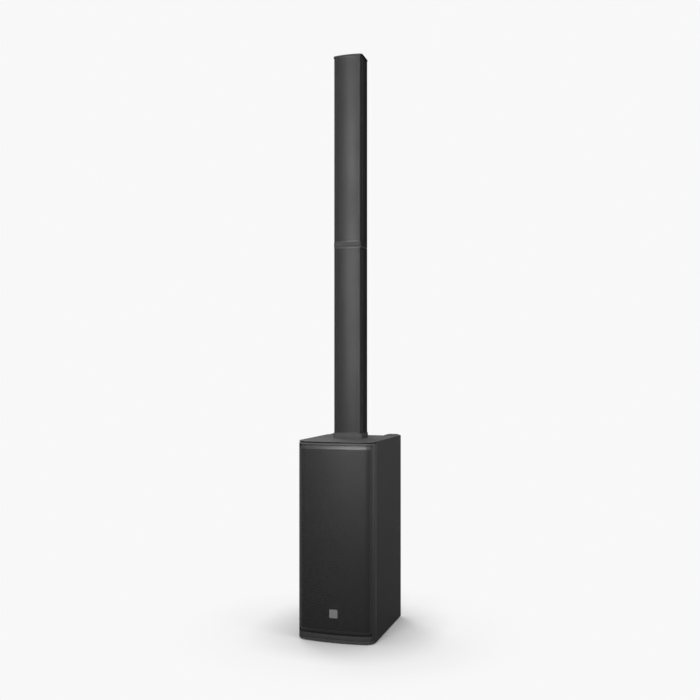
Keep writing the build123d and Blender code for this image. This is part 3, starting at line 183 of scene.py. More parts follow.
# %% Finishes
# slot: (colour, roughness, metal, gloss, grain size, grain depth, how far its colour wanders)
FINISHES = {
    "cabinet_black": ((0.044, 0.044, 0.045), 0.55, 0.0, 0.004, 1.3 * MM, 0.15 * MM, 0.14),
    "bezel_black": ((0.034, 0.034, 0.0344), 0.40, 0.0, 0.03, 0.7 * MM, 0.03 * MM, 0.08),
    "board_wood": ((0.30, 0.20, 0.11), 0.75, 0.0, 0.30, 2.5 * MM, 0.05 * MM, 0.30),
    "grille_paint": ((0.012, 0.012, 0.0122), 0.43, 0.0, 0.19, 0.5 * MM, 0.02 * MM, 0.10),
    "foam_black": ((0.006, 0.006, 0.006), 0.95, 0.0, 0.05, 0.8 * MM, 0.30 * MM, 0.50),
    "badge_satin": ((0.14, 0.14, 0.145), 0.40, 0.9, 0.50, 0.4 * MM, 0.01 * MM, 0.05),
    "frame_paint": ((0.020, 0.020, 0.020), 0.50, 0.0, 0.30, 0.8 * MM, 0.04 * MM, 0.15),
    "cone_paper": ((0.018, 0.018, 0.018), 0.80, 0.0, 0.20, 0.6 * MM, 0.08 * MM, 0.30),
    "surround_rubber": ((0.012, 0.012, 0.012), 0.60, 0.0, 0.30, 0.6 * MM, 0.02 * MM, 0.15),
    "magnet_iron": ((0.10, 0.10, 0.105), 0.55, 0.6, 0.50, 0.9 * MM, 0.05 * MM, 0.25),
    "port_plastic": ((0.016, 0.016, 0.016), 0.40, 0.0, 0.25, 0.8 * MM, 0.02 * MM, 0.10),
    "foot_rubber": ((0.014, 0.014, 0.014), 0.75, 0.0, 0.10, 0.7 * MM, 0.06 * MM, 0.20),
    "grip_plastic": ((0.036, 0.036, 0.037), 0.52, 0.0, 0.01, 0.8 * MM, 0.05 * MM, 0.12),
    "socket_plastic": ((0.026, 0.026, 0.0265), 0.50, 0.0, 0.02, 0.7 * MM, 0.03 * MM, 0.10),
    "contact_metal": ((0.80, 0.58, 0.25), 0.25, 1.0, 0.50, 0.4 * MM, 0.01 * MM, 0.05),
    "panel_paint": ((0.030, 0.030, 0.032), 0.46, 0.0, 0.20, 0.5 * MM, 0.03 * MM, 0.10),
    "sink_metal": ((0.045, 0.045, 0.047), 0.42, 0.6, 0.40, 0.5 * MM, 0.02 * MM, 0.15),
    "board_green": ((0.02, 0.13, 0.06), 0.35, 0.0, 0.50, 1.5 * MM, 0.02 * MM, 0.25),
    "coil_copper": ((0.40, 0.18, 0.06), 0.30, 0.9, 0.50, 0.8 * MM, 0.10 * MM, 0.30),
    "display_glass": ((0.006, 0.008, 0.012), 0.08, 0.0, 0.30, 5.0 * MM, 0.002 * MM, 0.10),
    "control_plastic": ((0.026, 0.026, 0.026), 0.38, 0.0, 0.25, 0.6 * MM, 0.02 * MM, 0.10),
    "button_rubber": ((0.12, 0.12, 0.125), 0.60, 0.0, 0.25, 0.6 * MM, 0.03 * MM, 0.10),
    "socket_black": ((0.020, 0.020, 0.020), 0.32, 0.0, 0.25, 0.6 * MM, 0.01 * MM, 0.08),
    "socket_metal": ((0.60, 0.59, 0.57), 0.30, 1.0, 0.50, 0.5 * MM, 0.01 * MM, 0.05),
    "rocker_plastic": ((0.30, 0.012, 0.012), 0.28, 0.0, 0.30, 0.8 * MM, 0.01 * MM, 0.06),
    "screw_black": ((0.050, 0.050, 0.052), 0.38, 0.8, 0.40, 0.4 * MM, 0.02 * MM, 0.15),
    "column_coat": ((0.012, 0.012, 0.0125), 0.60, 0.0, 0.005, 0.5 * MM, 0.03 * MM, 0.12),
}
FINE_DETAIL, FINE_ROUGHNESS = 4.0, 0.6
BROAD_SCALE, BROAD_DETAIL = 9.0, 3.0  # patches of about a tenth of a metre
ROUGHNESS_WANDER = 0.15  # share of a finish's roughness by which it goes up and down


def start_finish(name, slot, colour=None, wander=0.0):
    """Material with a slot's finish, in its own colour or another; returns it with its shader."""
    own, roughness, metallic, gloss, size, depth, spread = FINISHES[slot]
    colour = colour or own
    material, shader = start_material(name, colour, roughness, metallic)
    shader.inputs["Specular IOR Level"].default_value = gloss
    place = node(material, "ShaderNodeTexCoord").outputs["Object"]
    fine = node(material, "ShaderNodeTexNoise", Scale=1 / size, Detail=FINE_DETAIL)
    fine.inputs["Roughness"].default_value = FINE_ROUGHNESS
    broad = node(material, "ShaderNodeTexNoise", Scale=BROAD_SCALE, Detail=BROAD_DETAIL)
    for texture in (fine, broad):
        join(material, place, texture.inputs["Vector"])
    bump = node(material, "ShaderNodeBump", Strength=1.0, Distance=depth)
    join(material, fine.outputs["Fac"], bump.inputs["Height"])
    join(material, bump.outputs["Normal"], shader.inputs["Normal"])
    total = calculate(material, "ADD", fine.outputs["Fac"], broad.outputs["Fac"])
    average = calculate(material, "MULTIPLY", total, 0.5)
    darker, lighter = ([min(1, c * (1 + way * spread)) for c in colour] for way in (-1, 1))
    join(material, blend_colours(material, average, darker, lighter), shader.inputs["Base Color"])
    if wander:
        limits = (roughness * (1 - wander), roughness * (1 + wander))
        varied = remap(material, broad.outputs["Fac"], (0, 1), limits)
        join(material, varied, shader.inputs["Roughness"])
    return material, shader


finish = {slot: start_finish(slot, slot, wander=ROUGHNESS_WANDER)[0] for slot in FINISHES}
for part in frame["record"]["subparts"]:
    mesh = frame["nodes"][part["node"]].data
    mesh.materials.clear()
    mesh.materials.append(finish[part["material_slot"]])

# %% [markdown]
# ## Softened edges
# A moulded edge is never knife-sharp: a radius of half a millimetre catches the light and draws
# the outline of every black piece. The CAD solids carry their large radii. The small ones come
# from a Bevel modifier, which leaves the CAD mesh itself alone. A Weld modifier goes first,
# because the imported faces don't share their corners.

# %% Softened edges
EDGE_RADII = {
    "front_bezel": 0.8 * MM,
    "rear_grip": 2.0 * MM,
    "column_socket": 0.5 * MM,
    "lower_column_end_cap": 0.4 * MM,
    "upper_column_end_cap": 0.4 * MM,
    "upper_column_top_cap": 0.4 * MM,
    "badge_plate": 0.3 * MM,
}
SAME_POINT = 0.001 * MM  # corners nearer than this are one
EDGE_ANGLE = 40  # degrees between two faces from which their edge is softened
EDGE_STEPS = 3


def soften(name, radius):
    """Rounds a CAD node's sharp edges with modifiers."""
    shown = frame["nodes"][name]
    weld = shown.modifiers.new("weld", "WELD")
    weld.merge_threshold = SAME_POINT
    bevel = shown.modifiers.new("soft_edges", "BEVEL")
    bevel.width = radius
    bevel.segments = EDGE_STEPS
    bevel.limit_method = "ANGLE"
    bevel.angle_limit = math.radians(EDGE_ANGLE)
    bevel.harden_normals = True


for name, radius in EDGE_RADII.items():
    soften(name, radius)
print("softened:", ", ".join(EDGE_RADII))

# %% [markdown]
# ## The bowed front
# Seen from above, the cabinet's front is one long shallow arc with a tight arc at each corner.
# A point of the grille is placed by its distance along that outline, measured from the middle.
# The arcs meet smoothly, so one angle ties them together: the lean of the line through both
# centres. The column's front has the same form, only smaller.

# %% Bowed outline
HALVINGS = 40  # of the outline, in the search for a point on it


class BowedFront:
    """Plan outline of a bowed front with rounded corners, walked by distance from the middle."""

    def __init__(self, half, corner, bow, front):
        self.corner = corner
        self.corner_x = half - corner
        reach = corner + bow
        self.corner_y = front + reach
        self.radius = (self.corner_x**2 + reach**2 - corner**2) / (2 * bow)
        self.bow_y = front + self.radius
        self.lean = math.atan2(self.bow_y - self.corner_y, self.corner_x)
        self.bow_length = self.radius * (math.pi / 2 - self.lean)
        self.corner_length = corner * self.lean

    def at(self, distance, inset):
        """Point (x, y) at a distance along the outline, moved inset behind it."""
        side = 1 if distance >= 0 else -1
        along = abs(distance)
        if along <= self.bow_length:
            turn = along / self.radius
            reach = self.radius - inset
            return side * reach * math.sin(turn), self.bow_y - reach * math.cos(turn)
        along -= self.bow_length
        reach = self.corner - inset
        if along <= self.corner_length:
            angle = self.lean - along / self.corner
            return (
                side * (self.corner_x + reach * math.cos(angle)),
                self.corner_y - reach * math.sin(angle),
            )
        return side * (self.corner_x + reach), self.corner_y + along - self.corner_length

    def distance_to_x(self, x, inset):
        """Distance along the outline at which the inset outline reaches x, before its side."""
        low, high = 0.0, self.bow_length + self.corner_length
        for _ in range(HALVINGS):
            middle = (low + high) / 2
            if self.at(middle, inset)[0] < x:
                low = middle
            else:
                high = middle
        return low


print("bowed outline ready")

# %% [markdown]
# ## A perforated sheet
# The grilles are steel sheet punched with small holes in staggered rows. The sheet is drawn flat
# first: each hole owns a six-sided cell, and six faces join the cell's corners to the hole's. A
# cell cut by the border keeps no hole, as a punched pattern stops short of a fold. Another
# function then bends the flat sheet into place. Both faces and the walls of every hole are made,
# so light and shadow fall into real holes, and the sheet is one closed mesh.

# %% Flat punched sheet
# corners of a cell, in steps across and up from its middle
CELL = ((0.5, 1 / 3), (0, 2 / 3), (-0.5, 1 / 3), (-0.5, -1 / 3), (0, -2 / 3), (0.5, -1 / 3))
TINY = 1e-6  # lengths under this count as nothing


class FlatSheet:
    """Points (across, up) and faces of a flat punched sheet with plain strips around it."""

    def __init__(self, width, low, high, pitch, hole):
        self.points, self.faces, self.index = [], [], {}
        self.half, self.low, self.high = width / 2, low, high
        columns = round(width / pitch)
        rows = 2 * round((high - low) / (pitch * math.sqrt(3)))
        step_across, step_up = width / columns, (high - low) / rows
        for row in range(rows + 1):
            for column in range(columns + 1):
                across = -self.half + (column + 0.5 * (row % 2)) * step_across
                up = low + row * step_up
                self.add_cell(across, up, step_across, step_up, hole)

    def vertex(self, across, up):
        """Number of the point at a place, to a thousandth of a millimetre; adds it if new."""
        key = (round(across / MM, 3), round(up / MM, 3))
        if key not in self.index:
            self.index[key] = len(self.points)
            self.points.append((across, up))
        return self.index[key]

    def add_cell(self, across, up, step_across, step_up, hole):
        """Adds a cell with its hole, or a plain face where the border cuts the cell."""
        corners = [(across + a * step_across, up + b * step_up) for a, b in CELL]
        trimmed = [
            (max(-self.half, min(self.half, a)), max(self.low, min(self.high, b)))
            for a, b in corners
        ]
        apart = max(math.dist(a, b) for a, b in zip(corners, trimmed))
        if apart < TINY:
            turns = [(k + 0.5) * math.pi / 3 for k in range(6)]
            outer = [self.vertex(*place) for place in corners]
            inner = [
                self.vertex(across + hole * math.cos(turn), up + hole * math.sin(turn))
                for turn in turns
            ]
            for k in range(6):
                after = (k + 1) % 6
                self.faces.append((outer[k], outer[after], inner[after], inner[k]))
            return
        spans = [max(v) - min(v) for v in zip(*trimmed)]
        if min(spans) > TINY:
            ring = [self.vertex(*place) for place in trimmed]
            ring = [v for k, v in enumerate(ring) if v != ring[k - 1]]
            self.faces.append(tuple(ring))

    def add_strips(self, sides, ends):
        """Adds plain strips: sides and ends are distances outside the punched rectangle."""
        line_across = sorted({p[0] for p in self.points if p[1] in (self.low, self.high)})
        line_up = sorted({p[1] for p in self.points if abs(p[0]) == self.half})
        all_across = [-self.half - s for s in sides[::-1]] + line_across
        all_across += [self.half + s for s in sides]
        all_up = [self.low - s for s in ends[::-1]] + line_up + [self.high + s for s in ends]
        for left, right in zip(all_across, all_across[1:]):
            beside = abs(left + right) / 2 > self.half
            for under, over in zip(all_up, all_up[1:]):
                if beside or not self.low < (under + over) / 2 < self.high:
                    corners = ((left, under), (right, under), (right, over), (left, over))
                    self.faces.append(tuple(self.vertex(*place) for place in corners))


print("flat sheet ready")

# %% [markdown]
# ## From a flat sheet to a bent one
# `place` says where a flat point goes at a given depth into the sheet. Every point is placed
# twice, at the face and at the back, and each open edge gets a wall. Smooth shading with sharp
# edges above an angle keeps the bow round and the folds crisp.

# %% Bent sheet and piece helpers
SHARP_ANGLE = 30  # degrees between two faces from which their edge stays sharp


def show(name, mesh, body, slot, material=None):
    """Links a finished mesh as a piece that rides on a body and wears its slot's finish."""
    mesh.materials.append(material or finish[slot])
    mesh.shade_smooth()
    mesh.set_sharp_from_angle(angle=math.radians(SHARP_ANGLE))
    piece = bpy.data.objects.new(name, mesh)
    bpy.context.scene.collection.objects.link(piece)
    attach(piece, body)
    return piece


def triangles(piece):
    """How many triangles a piece's faces come to."""
    return sum(len(face.vertices) - 2 for face in piece.data.polygons)


def bent_sheet(name, sheet, place, thickness, body, slot):
    """Closed piece of a flat sheet, bent by place(across, up, depth)."""
    count = len(sheet.points)
    points = [place(a, u, 0.0) for a, u in sheet.points]
    points += [place(a, u, thickness) for a, u in sheet.points]
    edges = set()
    for face in sheet.faces:
        edges.update(zip(face, face[1:] + face[:1]))
    walls = [(b, a, a + count, b + count) for a, b in edges if (b, a) not in edges]
    backs = [tuple(v + count for v in reversed(face)) for face in sheet.faces]
    mesh = bpy.data.meshes.new(name)
    mesh.from_pydata(points, [], sheet.faces + backs + walls)
    mesh.validate()
    return show(name, mesh, body, slot)


print("bent sheet ready")

# %% [markdown]
# ## The cabinet's grille
# The big grille fills the bezel. Round its punched field runs a plain border, and at top and
# bottom that border folds back about thirty degrees, which draws a pale line under the cabinet's
# top edge. Then it turns straight back to its shelf. Its size comes from the CAD grille that it
# stands for.

# %% Cabinet grille
HOLE_PITCH = 5.3 * MM
HOLE_RADIUS = 2.05 * MM
SHEET = 1.2 * MM  # thickness
GRILLE_CORNER = 33 * MM  # radius
GRILLE_BOW = 7.5 * MM  # how far its middle stands out
BORDER = 10 * MM  # height of the folded border at top and bottom
BORDER_FOLD = 3.5 * MM  # how far it falls back
SIDE_BORDER = 5 * MM
FLANGE = 10 * MM  # flat width that stands for the turned-back edge
BEZEL_SKIN = 1 * MM  # the outline that the grille follows lies this far inside the cabinet's

grille_low, grille_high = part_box("base_grille")
cabinet_half = (cad_high.x - cad_low.x) / 2
grille_line = BowedFront(cabinet_half - BEZEL_SKIN, GRILLE_CORNER, GRILLE_BOW, grille_low.y)
grille_reach = grille_line.distance_to_x(grille_high.x, 0)
field_low, field_high = grille_low.z + BORDER, grille_high.z - BORDER


def pan_point(across, up, depth):
    """Place of a flat point on the grille: bowed front, folded border, turned-back edge."""
    rise = max(0.0, up - field_high, field_low - up)
    inset = BORDER_FOLD * min(1.0, rise / BORDER)
    half = grille_high.x - depth * (abs(across) > grille_reach)
    reach = grille_line.distance_to_x(half, inset)
    along = max(-1.0, min(1.0, across / grille_reach)) * reach
    x, y = grille_line.at(along, inset + depth)
    beyond = max(abs(across) - grille_reach, rise - BORDER, 0.0) / FLANGE
    z = max(grille_low.z, min(grille_high.z, up))
    if rise > BORDER or (rise == BORDER and depth):
        z -= math.copysign(depth, up - (field_low + field_high) / 2)
    return x, y + (grille_high.y - y) * min(1.0, beyond), z


cabinet_sheet = FlatSheet(
    2 * (grille_reach - SIDE_BORDER), field_low, field_high, HOLE_PITCH, HOLE_RADIUS
)
side_strips = [SIDE_BORDER, SIDE_BORDER + FLANGE]
cabinet_sheet.add_strips(side_strips, [BORDER / 2, BORDER, BORDER + FLANGE])
cabinet_grille = bent_sheet(
    "cabinet_grille", cabinet_sheet, pan_point, SHEET, "base", "grille_paint"
)
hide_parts("base_grille")
print("cabinet grille triangles:", triangles(cabinet_grille))

# %% [markdown]
# ## The column's grilles
# Each section of the column has a bowed front. Only the bow is punched sheet. A black channel
# holds the sheet at both sides: it turns the corner and runs back to the housing, so that a dark
# line runs down each edge of the front. Behind the holes one sees no drivers, only a thin layer of
# open foam. Channel and foam are both strips of the same outline, so one helper makes them: it
# walks the outline between two distances, outside and inside, and joins that shape, once low and
# once high, into a closed piece.

# %% Column grilles
COLUMN_PITCH = 3.9 * MM
COLUMN_HOLE = 1.72 * MM  # radius
COLUMN_CORNER = 7 * MM  # radius
COLUMN_BOW = 4 * MM  # how far its middle stands out
COLUMN_BORDER = 0.6 * MM  # plain edge of the punched sheet
SHEET_RECESS = 0.4 * MM  # how far the sheet sits behind the channel's face
FOAM_GAP = 0.2 * MM
FOAM_DEPTH = 2 * MM
STRIP_STEPS = 24
SECTIONS = ("lower_column", "upper_column")


def show_form(name, form, body, slot, material=None):
    """Turns a bmesh into a piece, with its faces turned outwards."""
    bmesh.ops.recalc_face_normals(form, faces=form.faces)
    mesh = bpy.data.meshes.new(name)
    form.to_mesh(mesh)
    form.free()
    return show(name, mesh, body, slot, material)


def join_rings(form, rings):
    """Adds the faces between each ring of points and the next."""
    for first, second in zip(rings, rings[1:]):
        for k in range(len(first)):
            after = (k + 1) % len(first)
            form.faces.new((first[k], first[after], second[after], second[k]))


def bowed_strips(name, line, spans, depths, heights, body, slot):
    """Shows upright strips that follow an outline between two distances and two depths."""
    form = bmesh.new()
    for start, end in spans:
        walk = [start + (end - start) * k / STRIP_STEPS for k in range(STRIP_STEPS + 1)]
        outline = [line.at(step, depths[0]) for step in walk]
        outline += [line.at(step, depths[1]) for step in reversed(walk)]
        under, over = ([form.verts.new((x, y, z)) for x, y in outline] for z in heights)
        form.faces.new(under)
        form.faces.new(over)
        join_rings(form, [under, over])
    show_form(name, form, body, slot)


def column_grille(section):
    """Punched sheet, its channel and the foam behind it, for one section."""
    low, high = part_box(f"{section}_grille")
    line = BowedFront(high.x, COLUMN_CORNER, COLUMN_BOW, low.y)
    half = line.bow_length
    field = low.z + COLUMN_BORDER, high.z - COLUMN_BORDER
    sheet = FlatSheet(2 * half, *field, COLUMN_PITCH, COLUMN_HOLE)
    sheet.add_strips([COLUMN_BORDER], [COLUMN_BORDER])
    punched = bent_sheet(
        f"{section}_punched_grille",
        sheet,
        lambda across, up, depth: (*line.at(across, SHEET_RECESS + depth), up),
        SHEET,
        section,
        "grille_paint",
    )
    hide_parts(f"{section}_grille")
    start = half + COLUMN_BORDER
    end = half + line.corner_length + high.y - line.corner_y
    sheet_back = SHEET_RECESS + SHEET
    bowed_strips(
        f"{section}_grille_channel",
        line,
        [(-end, -start), (start, end)],
        (0, sheet_back),
        (low.z, high.z),
        section,
        "column_coat",
    )
    foam_face = sheet_back + FOAM_GAP
    bowed_strips(
        f"{section}_foam",
        line,
        [(-start, start)],
        (foam_face, foam_face + FOAM_DEPTH),
        (low.z, high.z),
        section,
        "foam_black",
    )
    print(section, "grille triangles:", triangles(punched))
    return line


column_lines = {section: column_grille(section) for section in SECTIONS}

# %% [markdown]
# ## Mouldings with painted sheen and shade
# The caps between and above the sections are one moulding each. Their bowed face is painted
# lighter than their sides, a painted sheen that stands in for the lamp's reflection on the grilles,
# so that the joint hardly breaks the front, and their sides match the black housing. The colour
# changes where the bow ends, by the depth of a point in the object's own coordinates. The same
# material, split by height, paints shade into the groove above the bezel, so it reads as a dark
# line.

# %% Mouldings with painted sheen and shade
# painted sheen: the caps' bowed face is lighter than their black sides, for the grilles' reflection
CAP_SHEEN_FACE = (0.026, 0.026, 0.0264)
# painted shade: the bezel's top strip, inside the groove under the top's edge, is near black
GROOVE_PAINTED_SHADE = (0.004, 0.004, 0.004)
GROOVE = 3.6 * MM  # height of the shadow groove above the bezel's face
TONE_BLEND = 0.3 * MM  # half the width over which the colour changes
CAPS = ("lower_column_end_cap", "upper_column_end_cap", "upper_column_top_cap")


def painted_light_tone(name, slot, other, axis, edge, way):
    """A slot's finish beyond edge, going way (1 or -1) along an axis, and other before it: a split
    that paints sheen or shade.
    """
    material, shader = start_finish(name, slot)
    own = shader.inputs["Base Color"].links[0].from_socket
    split = node(material, "ShaderNodeSeparateXYZ")
    join(material, node(material, "ShaderNodeTexCoord").outputs["Object"], split.inputs["Vector"])
    zone = edge - way * TONE_BLEND, edge + way * TONE_BLEND
    past = remap(material, split.outputs[axis], zone, (0, 1))
    join(material, blend_colours(material, past, other, own), shader.inputs["Base Color"])
    return material


upper_line = column_lines["upper_column"]
face_end = upper_line.at(upper_line.bow_length, 0)[1]
# painted sheen on the caps' bowed face, black on their sides
cap_sheen_tone = painted_light_tone("cap_painted_sheen", "column_coat", CAP_SHEEN_FACE, "Y", face_end, 1)
groove_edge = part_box("front_bezel")[1].z - GROOVE
# painted shade: black strip at the top of the bezel, in the groove
bezel_groove_shade = painted_light_tone("bezel_painted_groove_shade", "bezel_black", GROOVE_PAINTED_SHADE, "Z", groove_edge, -1)
for name in CAPS:
    frame["nodes"][name].data.materials[0] = cap_sheen_tone
frame["nodes"]["front_bezel"].data.materials[0] = bezel_groove_shade
print("caps with painted sheen:", ", ".join(CAPS))
print("groove starts at height:", round(groove_edge, 4))

# %% [markdown]
# ## Thin shapes on the rear panel
# The panel's print, its little frames and its coloured rings are all thin plates on an upright
# face. A loop is a list of (x, z) points, and one helper raises a loop, or the ring between two
# loops, towards the back. Real print is a film of ink; a twentieth of a millimetre of mesh gives
# the same crisp edge, and it stays with the model when the picture's materials don't.

# %% Loops and raised shapes
INK = 0.05 * MM
CIRCLE_STEPS, CORNER_STEPS = 40, 6


def circle(x, z, radius, count=CIRCLE_STEPS):
    """Round loop about (x, z)."""
    steps = [2 * math.pi * k / count for k in range(count)]
    return [(x + radius * math.cos(t), z + radius * math.sin(t)) for t in steps]


def rounded(x, z, width, height, corner, steps=CORNER_STEPS):
    """Rectangle with round corners about (x, z)."""
    loop = []
    for quarter, (side, rise) in enumerate(((1, 1), (-1, 1), (-1, -1), (1, -1))):
        centre_x = x + side * (width / 2 - corner)
        centre_z = z + rise * (height / 2 - corner)
        for k in range(steps + 1):
            turn = (quarter + k / steps) * math.pi / 2
            loop.append((centre_x + corner * math.cos(turn), centre_z + corner * math.sin(turn)))
    return loop


def raise_shape(form, outer, y, thickness, inner=None):
    """Adds a closed plate, or a closed ring where there is an inner loop as long as the outer."""

    def ring(loop, depth):
        return [form.verts.new((x, depth, z)) for x, z in loop]

    near, far = ring(outer, y), ring(outer, y + thickness)
    if inner is None:
        form.faces.new(near)
        form.faces.new(far)
        join_rings(form, [near, far])
    else:
        hole_near, hole_far = ring(inner, y), ring(inner, y + thickness)
        join_rings(form, [near, far, hole_far, hole_near, near])


def tint(name, slot, colour, glow=0.0):
    """A slot's finish in another colour, with light of its own if it glows."""
    material, shader = start_finish(name, slot, colour)
    shader.inputs["Emission Color"].default_value = (*colour, 1)
    shader.inputs["Emission Strength"].default_value = glow
    return material


print("raised shapes ready")

# %% [markdown]
# ## The rear panel's print and trim
# Thin grey frames gather the controls in groups: display, buttons and knob on top, the inputs in
# the middle, the mains below. Each button has a plain sign over it and the knob a ring of dots.
# Nothing here is a word.

# %% Panel frames
PRINT_GREY = (0.40, 0.40, 0.41)
LINE = 0.5 * MM
GROUP_EDGE = 14 * MM  # from the panel's top or bottom edge to a group's frame
SINK_GAP = 7 * MM  # from the heat sink to a group's frame
GROUP_GAP = 2 * MM  # between two groups' frames
FRAME_CORNER = 4 * MM
print_ink = tint("print_ink", "panel_paint", PRINT_GREY)
panel_low, panel_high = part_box("amp_panel")
panel_face = panel_high.y
panel_x = (panel_low.x + panel_high.x) / 2
sink_low, sink_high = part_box("heat_sink")
group_width = sink_high.x - sink_low.x


def middle(name):
    """Middle of a CAD node and half its size."""
    low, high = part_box(name)
    return (low + high) / 2, (high - low) / 2


def frame_line(form, low, high):
    """Thin frame between two heights, as wide as the heat sink."""
    outer, inner = (
        rounded(
            panel_x,
            (low + high) / 2,
            group_width - 2 * inset,
            high - low - 2 * inset,
            FRAME_CORNER - inset,
        )
        for inset in (0, LINE)
    )
    raise_shape(form, outer, panel_face, INK, inner)


button_centre, button_half = middle("menu_button_1")
line_low, line_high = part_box("line_sockets")
split_height = (button_centre.z - button_half.z + line_high.z) / 2
form = bmesh.new()
frame_line(form, split_height, panel_high.z - GROUP_EDGE)
frame_line(form, sink_high.z + SINK_GAP, split_height - GROUP_GAP)
frame_line(form, panel_low.z + GROUP_EDGE, sink_low.z - SINK_GAP)
show_form("panel_frame_lines", form, "base", "panel_paint", print_ink)
print("groups split at", round(split_height, 4))

# %% Panel signs
SIGN = 1.6 * MM  # half a sign's size
SIGN_RISE = 4.8 * MM  # from a button's top edge to the middle of its sign
SIGNS = (
    ((-1, 0), (1, 1), (1, -1)),
    ((1, 0), (-1, -1), (-1, 1)),
    ((-1, -1), (1, -1), (1, 1), (-1, 1)),
    ((0, 1), (-1, 0), (0, -1), (1, 0)),
)
form = bmesh.new()
for number, sign in enumerate(SIGNS, 1):
    centre, half = middle(f"menu_button_{number}")
    z = centre.z + half.z + SIGN_RISE
    raise_shape(form, [(centre.x + SIGN * a, z + SIGN * b) for a, b in sign], panel_face, INK)
knob_centre, knob_half = middle("control_knob")
DOTS, DOT_SIDES = 24, 12
DOT_GAP = 4 * MM  # from the knob's edge to the ring of dots
for x, z in circle(knob_centre.x, knob_centre.z, knob_half.x + DOT_GAP, DOTS):
    raise_shape(form, circle(x, z, LINE, DOT_SIDES), panel_face, INK)
show_form("panel_signs", form, "base", "panel_paint", print_ink)
print("signs:", len(SIGNS), "and", DOTS, "dots round the knob")

# %% [markdown]
# ## The display
# On the real panel a small screen shows the levels of two inputs and a menu. A picture on the
# glass would do that too, but thin blocks stay sharp from near and need no image. Each meter is a
# row of blocks: those up to its level are lit, and the rest are dim. The menu is four lit bars.
# Places are shares of half the glass, so they fit it whatever its size. A raised rim frames it.

# %% Display blocks
METER_STEPS = 16
METER_LIT = (11, 9)  # lit steps of the two meters
METER_WIDTH, METER_HEIGHT = 1.5, 0.28  # shares of half the glass, as are the next two lines
METER_LEVEL, METER_DROP = 0.38, 0.42
MENU_WIDTH, MENU_STEP, MENU_LEVEL = 0.34, 0.42, -0.62
MENU_BARS, MENU_HEIGHT = 4, 1.2 * MM
BLOCK_FILL = 0.7  # share of a step that its block covers
BLOCK_CORNER, BLOCK_CORNER_STEPS = 0.2 * MM, 2
LIT_BLUE, LIT_GLOW = (0.30, 0.55, 0.62), 0.5
DIM_BLUE = (0.035, 0.055, 0.065)

display_centre, display_half = middle("display_window")
glass_face = display_centre.y + display_half.y


def display_block(form, x, level, width, height):
    """Thin block on the glass at a place across it and a level between -1 and 1."""
    z = display_centre.z + level * display_half.z
    block = rounded(x, z, width, height, BLOCK_CORNER, BLOCK_CORNER_STEPS)
    raise_shape(form, block, glass_face, INK)


meter_step = METER_WIDTH * display_half.x / METER_STEPS
lit_form, dim_form = bmesh.new(), bmesh.new()
for row, lit_steps in enumerate(METER_LIT):
    for step in range(METER_STEPS):
        x = display_centre.x + (METER_STEPS / 2 - step - 0.5) * meter_step
        size = BLOCK_FILL * meter_step, METER_HEIGHT * display_half.z
        meter_form = lit_form if step < lit_steps else dim_form
        display_block(meter_form, x, METER_LEVEL - METER_DROP * row, *size)
for bar in range(MENU_BARS):
    x = display_centre.x + ((MENU_BARS - 1) / 2 - bar) * MENU_STEP * display_half.x
    display_block(lit_form, x, MENU_LEVEL, MENU_WIDTH * display_half.x, MENU_HEIGHT)
lit_tone = tint("display_lit", "display_glass", LIT_BLUE, LIT_GLOW)
dim_tone = tint("display_dim", "display_glass", DIM_BLUE)
show_form("display_lit_blocks", lit_form, "base", "display_glass", lit_tone)
show_form("display_dim_blocks", dim_form, "base", "display_glass", dim_tone)
print("display meters:", METER_LIT, "of", METER_STEPS, "steps lit")

# %% Display rim
RIM, RIM_HEIGHT = 1.5 * MM, 1.2 * MM
form = bmesh.new()
rim_outer, rim_inner = (
    rounded(
        display_centre.x,
        display_centre.z,
        2 * (display_half.x + grow),
        2 * (display_half.z + grow),
        RIM + grow,
    )
    for grow in (RIM, 0)
)
raise_shape(form, rim_outer, panel_face, RIM_HEIGHT, rim_inner)
show_form("display_rim", form, "base", "control_plastic")
print("display rim stands", round(RIM_HEIGHT / MM, 1), "mm proud of the panel")

# %% [markdown]
# ## Knob pointer and coloured rings
# A pointer on the knob rides on the knob's own body, so that a turned knob can be told from one at
# rest. Coloured rings round the two upper line sockets tell left from right. Both are raised
# shapes, as the print is: the pointer is a small bar that stands a hair above the knob's face, and
# a ring is the space between two circles.

# %% Knob pointer
OFF_WHITE = (0.62, 0.62, 0.60)
POINTER_PLACE, POINTER_LENGTH = 0.55, 0.5  # shares of the knob's radius
POINTER_WIDTH, POINTER_CORNER = 1.2 * MM, 0.5 * MM
pointer = rounded(
    knob_centre.x,
    knob_centre.z + POINTER_PLACE * knob_half.z,
    POINTER_WIDTH,
    POINTER_LENGTH * knob_half.z,
    POINTER_CORNER,
)
form = bmesh.new()
raise_shape(form, pointer, knob_centre.y + knob_half.y - INK, 2 * INK)
pointer_ink = tint("pointer_ink", "control_plastic", OFF_WHITE)
show_form("knob_pointer", form, "knob", "control_plastic", pointer_ink)
print("pointer is", round(POINTER_LENGTH * knob_half.z / MM, 1), "mm long")

